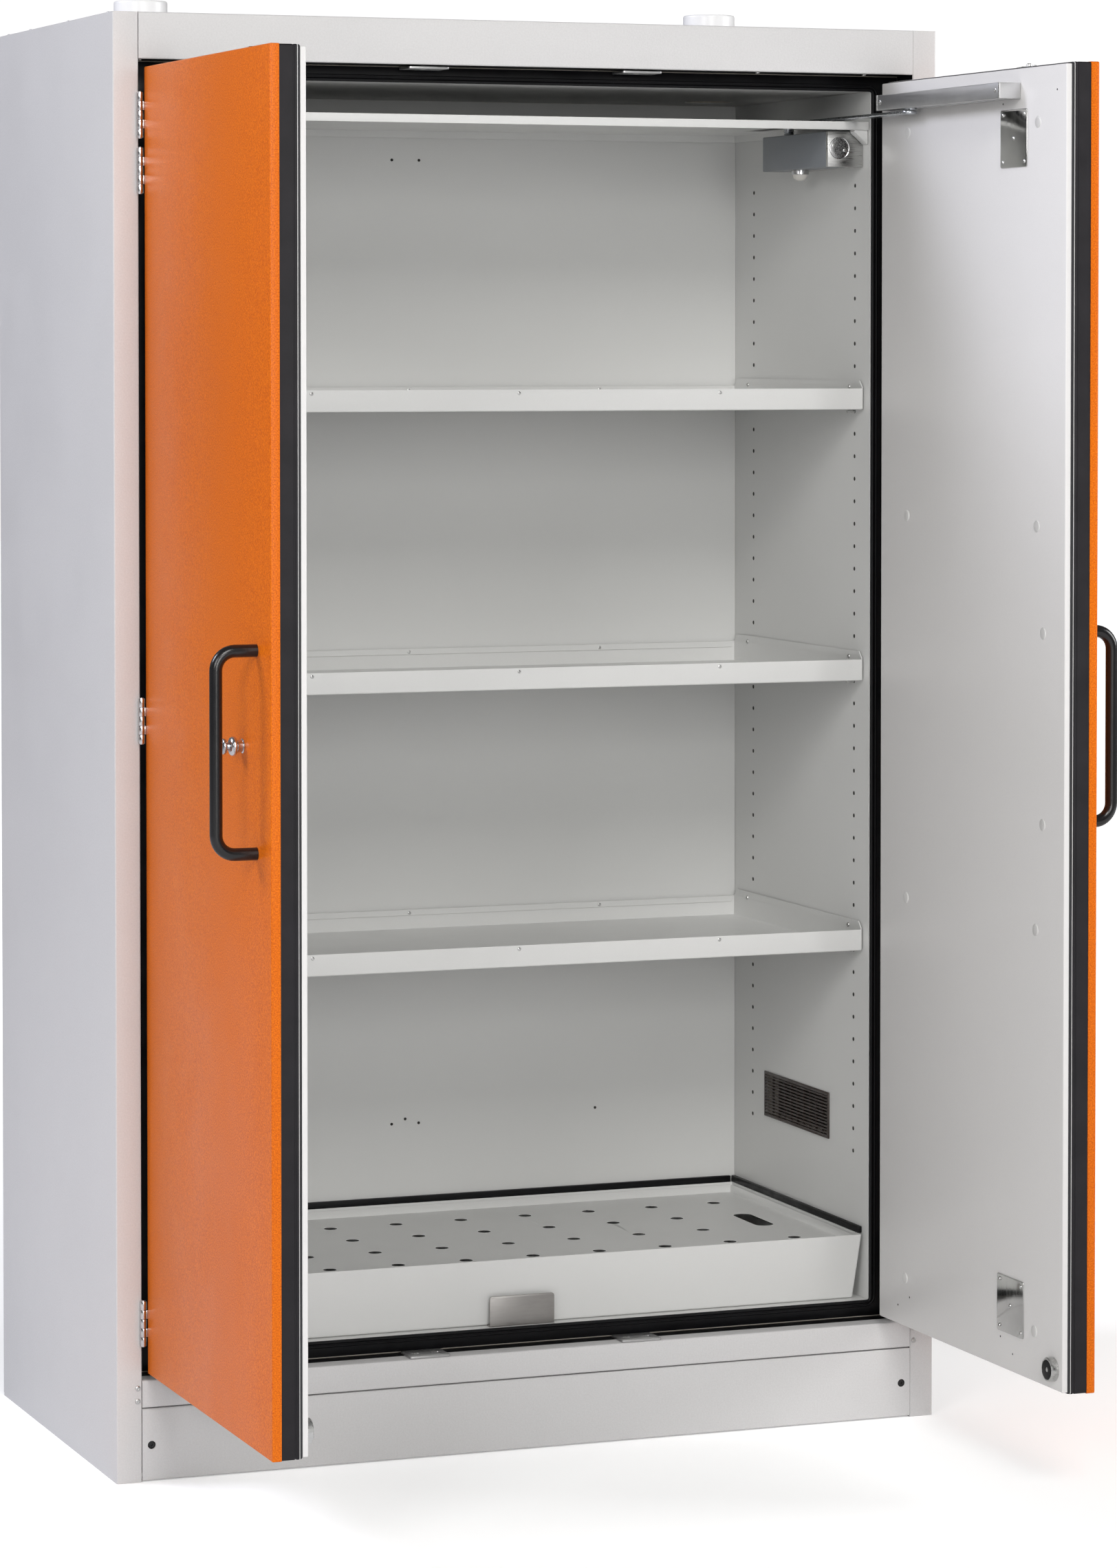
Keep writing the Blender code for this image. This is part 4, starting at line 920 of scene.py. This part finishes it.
def makeDoorLeaf(label, side):
    s = Named(**door)
    body, node, place = label + "_door", label + "_door_", doorPlace(side)
    title = label + "Door"
    bm = bmesh.new()
    openBox(bm, (s.near, s.skinFront, s.bottom), (s.far, s.skinEnd, s.top), [(0, 1, 0)])
    roundEdges(bm, foldEdges(bm), s.skinFold, 3)
    makePiece(title + "Skin", bm, orangePaint, body, node + "shell", place, wall=s.sheet)
    bm = bmesh.new()
    low, high = (s.near + 0.0005, s.bottom + 0.0005), (s.far - 0.0005, s.top - 0.0005)
    start, end = s.skinEnd + 0.0003, s.stripEnd
    outline = [(-0.0025, start), (0, start), (0, end - 0.0065), (-0.0007, end - 0.0058),
        (-0.0007, end - 0.0040), (0, end - 0.0032), (0, end - 0.0006), (-0.0005, end), (-0.0025, end)]
    ringSweep(bm, outline, low, high, corner=0.0030, cornerSteps=3)
    pin = bmesh.new()
    rod(pin, (s.latchAlong, s.latchDeep, s.top - 0.07), (s.latchAlong, s.latchDeep, s.top + 0.02), 0.0048, 20)
    makePiece(title + "EdgeStrip", bm, stripPlastic, body, node + "edge_strip", place, cuts=pin)
    paintNode(node + "core", boardFibre)
    bm = bmesh.new()
    ringSweep(bm, bead(0.00045, end, -0.0004, 6), low, high, corner=0.0026, cornerSteps=3)
    makePiece(title + "SealLine", bm, capPlastic, body, slot=node + "inner_panel", place=place)
    bm = bmesh.new()
    middle = (s.stripEnd + s.panelStart) / 2
    ringSweep(bm, bead(s.cord, middle, -s.cord - 0.0004, 10), low, high, corner=0.0035, cornerSteps=4)
    makePiece(title + "CordSeal", bm, cordFibre, body, slot="frame_seal", place=place, hard=60)
    bm = bmesh.new()
    openBox(bm, (s.near + 0.002, s.panelStart, s.bottom + 0.003), (s.far - 0.002, s.face, s.top - 0.003),
        [(0, -1, 0)])
    roundEdges(bm, foldEdges(bm), s.panelFold, 3)
    makePiece(title + "InnerPanel", bm, panelPaint, body, node + "inner_panel", place, wall=s.sheet)


def makeDoorDetails(label, side):
    s = Named(**door)
    body, node, place = label + "_door", label + "_door_", doorPlace(side)
    title = label + "Door"
    plates, screws = bmesh.new(), bmesh.new()
    half = s.coverSide / 2
    for z in s.coverZ:
        verts = block(plates, (s.coverAlong - half, s.face + 0.0001, z - half),
            (s.coverAlong + half, s.face + s.coverThick, z + half))
        corners = {e for v in verts for e in v.link_edges if abs(e.verts[0].co.y - e.verts[1].co.y) > 1e-6}
        roundEdges(plates, corners, 0.003, 4)
        reach = half - s.coverInset
        spots = [(0, 0)] + [(a * reach, b * reach) for a in (-1, 1) for b in (-1, 1)]
        for a, b in spots:
            screwHead(screws, (s.coverAlong + a, s.face + s.coverThick, z + b), (0, 1, 0), 0.0028, 0.0013)
    makePiece(title + "Covers", plates, coverSteel, body, slot="closer_bracket", place=place, edge=0.0004)
    makePiece(title + "CoverScrews", screws, zincPlate, body, slot="closer_bracket", place=place)
    caps = bmesh.new()
    r = s.capRadius
    for along, z in s.caps:
        outline = [(0, 0.0011), (r * 0.80, 0.0010), (r * 0.95, 0.0006), (r, 0.0001), (r, -0.0002), (0, -0.0002)]
        lathe(caps, outline, facing((along, s.face, z), (0, 1, 0)), 32)
    makePiece(title + "Caps", caps, capPlastic, body, slot=node + "inner_panel", place=place, hard=50)
    # painted shade: dark discs stand in for the depth of the panel's holes
    holes = bmesh.new()
    for along, z in s.holes:
        rod(holes, (along, s.face - 0.001, z), (along, s.face + 0.00012, z), 0.0014, 10)
    makePiece(title + "Holes", holes, holeShade, body, slot="frame_seal", place=place)
    makeMagnet(title, body, node, place)
    makeLatch(title, label, node, place)


def makeMagnet(title, body, node, place):
    s = Named(**door)
    spot = facing((s.magnet[0], s.face + 0.0003, s.magnet[1]), (0, 1, 0))
    r, h = s.magnetRadius, s.magnetProud
    ring, pad = bmesh.new(), bmesh.new()
    lathe(ring, [(0, 0), (r, 0), (r, h - 0.0014), (r - 0.0012, h - 0.0002), (r - 0.0026, h - 0.0002),
        (r - 0.0026, h - 0.0010), (0, h - 0.0010)], spot, 48)
    makePiece(title + "MagnetRing", ring, zincPlate, body, node + "magnet", place)
    lathe(pad, [(0.0030, h - 0.0016), (0.0034, h - 0.0003), (r - 0.0036, h), (r - 0.0027, h - 0.0004),
        (r - 0.0027, h - 0.0016)], spot, 48)
    makePiece(title + "MagnetPad", pad, sealRubberAndShade, body, slot="frame_seal", place=place)
    bolt = bmesh.new()
    lathe(bolt, [(0, h - 0.0013), (0.0013, h - 0.0013), (0.0014, h - 0.0004), (0.0028, h - 0.0006),
        (0.0029, h - 0.0016), (0, h - 0.0016)], spot, 20)
    makePiece(title + "MagnetBolt", bolt, zincPlate, body, slot="closer_bracket", place=place)


def makeLatch(title, label, node, place):
    s = Named(**door)
    spot = Matrix.Translation((s.latchAlong, s.latchDeep, 0))
    top, r = s.top + s.latchProud, s.latchRadius
    bm = bmesh.new()
    lathe(bm, [(0, top), (r * 0.55, top - 0.0002), (r * 0.9, top - 0.0012), (r, top - 0.0026), (r, top - 0.065),
        (0, top - 0.065)], spot, 28)
    makePiece(title + "LatchPin", bm, zincPlate, label + "_latch", node + "latch_pin", place)
    bm = bmesh.new()                 # flange and two screws round the pin on the door's top edge
    low, high = (s.latchAlong - 0.024, s.latchDeep - 0.0075, s.top - 0.0004), (s.latchAlong + 0.024,
        s.latchDeep + 0.0075, s.top + 0.0006)
    block(bm, low, high)
    roundEdges(bm, [e for e in bm.edges if abs(e.verts[0].co.z - e.verts[1].co.z) > 1e-6], 0.004, 4)
    hole = bmesh.new()
    rod(hole, (s.latchAlong, s.latchDeep, s.top - 0.01), (s.latchAlong, s.latchDeep, s.top + 0.01), 0.0048, 28)
    makePiece(title + "LatchFlange", bm, zincPlate, label + "_door", slot="keeper_plate", place=place,
        cuts=hole, edge=0.0002)
    bm = bmesh.new()
    for step in (-1, 1):
        screwHead(bm, (s.latchAlong + step * 0.017, s.latchDeep, s.top + 0.0006), (0, 0, 1), 0.0028, 0.0012)
    makePiece(title + "LatchScrews", bm, zincPlate, label + "_door", slot="keeper_plate", place=place)


def makeHandle(label, side):
    s = Named(**handle)
    start = door["skinFront"] + 0.0010
    grip = door["skinFront"] - s.standOff
    bm = bmesh.new()
    bmesh.ops.create_circle(bm, cap_ends=True, segments=24, radius=s.radius,
        matrix=facing((s.along, start, s.high), (0, -1, 0)))
    loop = [e for e in bm.edges if e.is_boundary or len(e.link_faces) == 1]

    def pushed(edges, vec):
        geom = bmesh.ops.extrude_edge_only(bm, edges=edges)["geom"]
        bmesh.ops.translate(bm, verts=picked(geom, bmesh.types.BMVert), vec=vec)
        return [e for e in picked(geom, bmesh.types.BMEdge) if len(e.link_faces) == 1]

    def bent(edges, centre, angle):
        verts = list({v for e in edges for v in e.verts})
        last = bmesh.ops.spin(bm, geom=verts + edges, cent=centre, axis=(1, 0, 0), angle=angle, steps=10,
            use_duplicate=False)["geom_last"]
        return picked(last, bmesh.types.BMEdge)

    loop = pushed(loop, (0, grip + s.bend - start, 0))
    loop = bent(loop, (s.along, grip + s.bend, s.high - s.bend), math.pi / 2)
    loop = pushed(loop, (0, 0, -(s.high - s.low - 2 * s.bend)))
    loop = bent(loop, (s.along, grip + s.bend, s.low + s.bend), math.pi / 2)
    loop = pushed(loop, (0, start - grip - s.bend, 0))
    bmesh.ops.contextual_create(bm, geom=loop)
    bmesh.ops.remove_doubles(bm, verts=bm.verts, dist=1e-6)
    bmesh.ops.recalc_face_normals(bm, faces=bm.faces)
    makePiece(label + "DoorHandle", bm, darkPaint, label + "_door", label + "_door_handle", doorPlace(side),
        hard=50)


def makeHinges(label, side):
    s = Named(**hinge)
    place = doorPlace(side)
    step = s.length / 5
    # the frame's own side uses the same along-deep-height layout, unturned
    still = Matrix.Translation((side * s.x, s.y, 0)) @ Matrix.Diagonal((-side, 1, 1, 1))
    for body, picks, plate, where, node in ((label + "_door", (1, 3), (0.0014, 0.0026), place,
            label + "_door_hinge_leaves"), ("cabinet", (0, 2, 4), (-0.0002, 0.0010), still,
            "frame_hinge_leaves_" + label)):
        bm = bmesh.new()
        leaves = bmesh.new()
        for centre in s.centres:
            low = centre - s.length / 2
            block(leaves, (plate[0], 0.0075, low), (plate[1], 0.0300, low + s.length))
            for k in picks:
                a, b = low + step * k + 0.00025, low + step * (k + 1) - 0.00025
                rod(bm, (0, 0, a), (0, 0, b), s.knuckle, 28)
                block(leaves, (plate[0], 0.0028, a), (plate[1], 0.0085, b))
            if body == "cabinet":
                rod(bm, (0, 0, low - 0.0008), (0, 0, low + s.length + 0.0008), s.pin + 0.0004, 20)
        append(bm, leaves)
        makePiece("hinge" + label.capitalize() + ("Door" if body != "cabinet" else "Frame"), bm, chromePlate,
            body, node, where, edge=0.00035)


def makeLock():
    place = doorPlace(-1)
    spot = facing((0.443, door["skinFront"] - 0.0003, 1.018), (0, -1, 0))
    bm = bmesh.new()
    dome = [(0, 0.0175), (0.0070, 0.0174), (0.0085, 0.0170), (0.0108, 0.0158), (0.0119, 0.0140),
        (0.0122, 0.0118), (0.0119, 0.0104), (0.0105, 0.0094), (0.0084, 0.0078), (0.0078, 0.0060),
        (0.0078, 0.0014), (0.0092, 0.0006), (0.0092, 0), (0, 0)]
    lathe(bm, dome, spot, 48)
    makePiece("lockRosette", bm, chromePlate, "left_door", "lock_rosette", place, hard=50)
    bm = bmesh.new()
    knob = [(0, 0.0268), (0.0086, 0.0268), (0.0095, 0.0262), (0.0098, 0.0252), (0.0098, 0.0232),
        (0.0092, 0.0224), (0.0062, 0.0218), (0.0046, 0.0205), (0.0050, 0.0178), (0, 0.0178)]
    lathe(bm, knob, spot, 40)
    makePiece("lockKnob", bm, armSteel, "lock_cylinder", "lock_cylinder", place, hard=50)


for doorLabel, doorSide in sides:
    makeDoorLeaf(doorLabel, doorSide)
    makeDoorDetails(doorLabel, doorSide)
    makeHandle(doorLabel, doorSide)
    makeHinges(doorLabel, doorSide)
makeLock()
print("doors built")


# door closer: housing, bracket, heat release, arm, rail and slider
closer = {
    "x": (0.467, 0.5015), "y": (-0.2150, 0.0100), "z": (1.766, 1.816), "frontPlate": -0.2220, "wall": 0.5212,
    "dial": (0.4847, 1.7925), "dialRadius": 0.0155, "release": (0.487, -0.080),
    "railAlong": (0.053, 0.430), "railZ": (1.839, 1.860), "railProud": 0.032, "railScrews": (0.0656, 0.418),
    "slider": 0.126, "armLow": 1.8315, "armHigh": 1.8360,
}


def makeCloser():
    s = Named(**closer)
    bm = bmesh.new()
    block(bm, (s.x[0], s.y[0], s.z[0]), (s.x[1], s.y[1], s.z[1]))
    makePiece("closerHousing", bm, closerPaint, "cabinet", "closer_housing", edge=0.0016, edgeSteps=3)
    softCopy("closerBracket", "closer_bracket", bracketSteel, "cabinet", 0.0007)
    bm = bmesh.new()
    x, z = s.dial
    spot = facing((x, s.frontPlate, z), (0, -1, 0))
    r = s.dialRadius
    lathe(bm, [(0, 0.0002), (r * 0.5, 0.0004), (r * 0.86, 0.0004), (r * 0.94, 0.0001), (r, 0.0005),
        (r, -0.0004), (0, -0.0004)], spot, 56)
    makePiece("closerDial", bm, dialSteel, "cabinet", slot="closer_bracket")
    bm = bmesh.new()
    for a, b in ((-0.0085, 0.0035), (0.0085, -0.0030)):
        screwHead(bm, (x + a, s.frontPlate - 0.0003, z + b), (0, -1, 0), 0.0026, 0.0007)
    makePiece("closerDialPins", bm, zincPlate, "cabinet", slot="closer_bracket")
    cx, cy = s.release
    collar, lens = bmesh.new(), bmesh.new()
    down = facing((cx, cy, s.z[0] - 0.0003), (0, 0, -1))
    lathe(collar, [(0, 0), (0.0125, 0), (0.0125, 0.0058), (0.0119, 0.0064), (0, 0.0064)], down, 40)
    makePiece("releaseCollar", collar, chromePlate, "cabinet", "thermal_release")
    lathe(lens, [(0, 0.0060), (0.0112, 0.0062), (0.0110, 0.0080), (0.0098, 0.0108), (0.0072, 0.0134),
        (0.0036, 0.0147), (0, 0.0150)], down, 40)
    makePiece("releaseLens", lens, lensPlastic, "cabinet", slot="thermal_release", hard=60)


def makeLinkage():
    s = Named(**closer)
    place = doorPlace(1)
    face = door["face"] + 0.0003
    bm = bmesh.new()
    block(bm, (s.railAlong[0], face, s.railZ[0]), (s.railAlong[1], door["face"] + s.railProud, s.railZ[1]))
    groove = bmesh.new()
    block(groove, (s.railAlong[0] + 0.017, face + 0.011, s.railZ[0] - 0.01),
        (s.railAlong[1] - 0.0025, face + 0.021, s.railZ[0] + 0.013))
    makePiece("slideRail", bm, railAluminium, "right_door", "slide_rail", place, cuts=groove, edge=0.0009,
        edgeSteps=3)
    bm = bmesh.new()
    for along in s.railScrews:
        z = sum(s.railZ) / 2
        screwHead(bm, (along, door["face"] + s.railProud, z + 0.0005), (0, 1, 0), 0.0034, 0.0008, 0.0016)
    for along in (s.railAlong[0] + 0.0015, s.railAlong[1] - 0.0015):      # end caps
        block(bm, (along - 0.0013, face + 0.0006, s.railZ[0] - 0.0001),
            (along + 0.0013, door["face"] + s.railProud + 0.0002, s.railZ[1] + 0.0002))
    makePiece("railScrewsAndCaps", bm, zincPlate, "right_door", slot="slide_rail", place=place)
    bm = bmesh.new()
    block(bm, (s.slider - 0.012, face + 0.0115, s.armHigh + 0.0006), (s.slider + 0.012, face + 0.0205, 1.850))
    roundEdges(bm, list(bm.edges), 0.0012, 2)
    lathe(bm, [(0, 0.0015), (0.0096, 0.0015), (0.0102, 0.0008), (0.0102, -0.0008), (0, -0.0008)],
        Matrix.Translation((s.slider, face + 0.016, 1.8382)), 32)
    makePiece("railSlider", bm, armSteel, "rail_slider", "rail_slider", place)
    softCopy("closerArm", "closer_arm", armSteel, "closer_arm", 0.0008)
    bm = bmesh.new()
    screwHead(bm, (0.4845, -0.045, s.armHigh), (0, 0, 1), 0.0075, 0.0035, 0.003)
    makePiece("armBolt", bm, zincPlate, "closer_arm", slot="closer_arm")


dialSteel = brushedMetal("dialTurnedSteel", (0.55, 0.55, 0.55), (900.0, 60.0, 900.0), 0.16, 0.34)
makeCloser()
makeLinkage()
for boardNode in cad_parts:
    if boardNode.startswith("insulation"):
        paintNode(boardNode, boardFibre)
print("closer built")


# the studio floor
floorSettings = {
    "half": 30.0, "colour": (0.90, 0.90, 0.90), "nearGlow": 0.36, "farGlow": 0.95, "fadeFrom": 1.3, "fadeTo": 4.5,
}


def makeFloor():
    s = Named(**floorSettings)
    bm = bmesh.new()
    bmesh.ops.create_grid(bm, x_segments=1, y_segments=1, size=s.half)
    mesh = bpy.data.meshes.new("studioFloor")
    bm.to_mesh(mesh)
    bm.free()
    material, tree, shader, place = startMaterial("studioFloorPale", Roughness=0.9)
    drift = (*[c * 0.99 for c in s.colour], 1)
    tone = useGroup(tree, toneGroup, Vector=place, Colour=(*s.colour, 1), Drift=drift, Scale=0.4)
    tree.links.new(tone["Colour"], shader["Base Color"])
    path = addNode(tree, "LightPath")       # the floor's own glow shows to the camera alone
    reach = addNode(tree, "VectorMath", [(0, place)], operation="LENGTH")["Value"]
    fade = remap(tree, reach, s.fadeFrom, s.fadeTo, s.nearGlow, s.farGlow)
    tree.links.new(maths(tree, "MULTIPLY", path["Is Camera Ray"], fade), shader["Emission Color"])
    shader["Emission Strength"].default_value = 1.0
    mesh.materials.append(material)
    floor = bpy.data.objects.new("studioFloor", mesh)
    show(floor)


makeFloor()
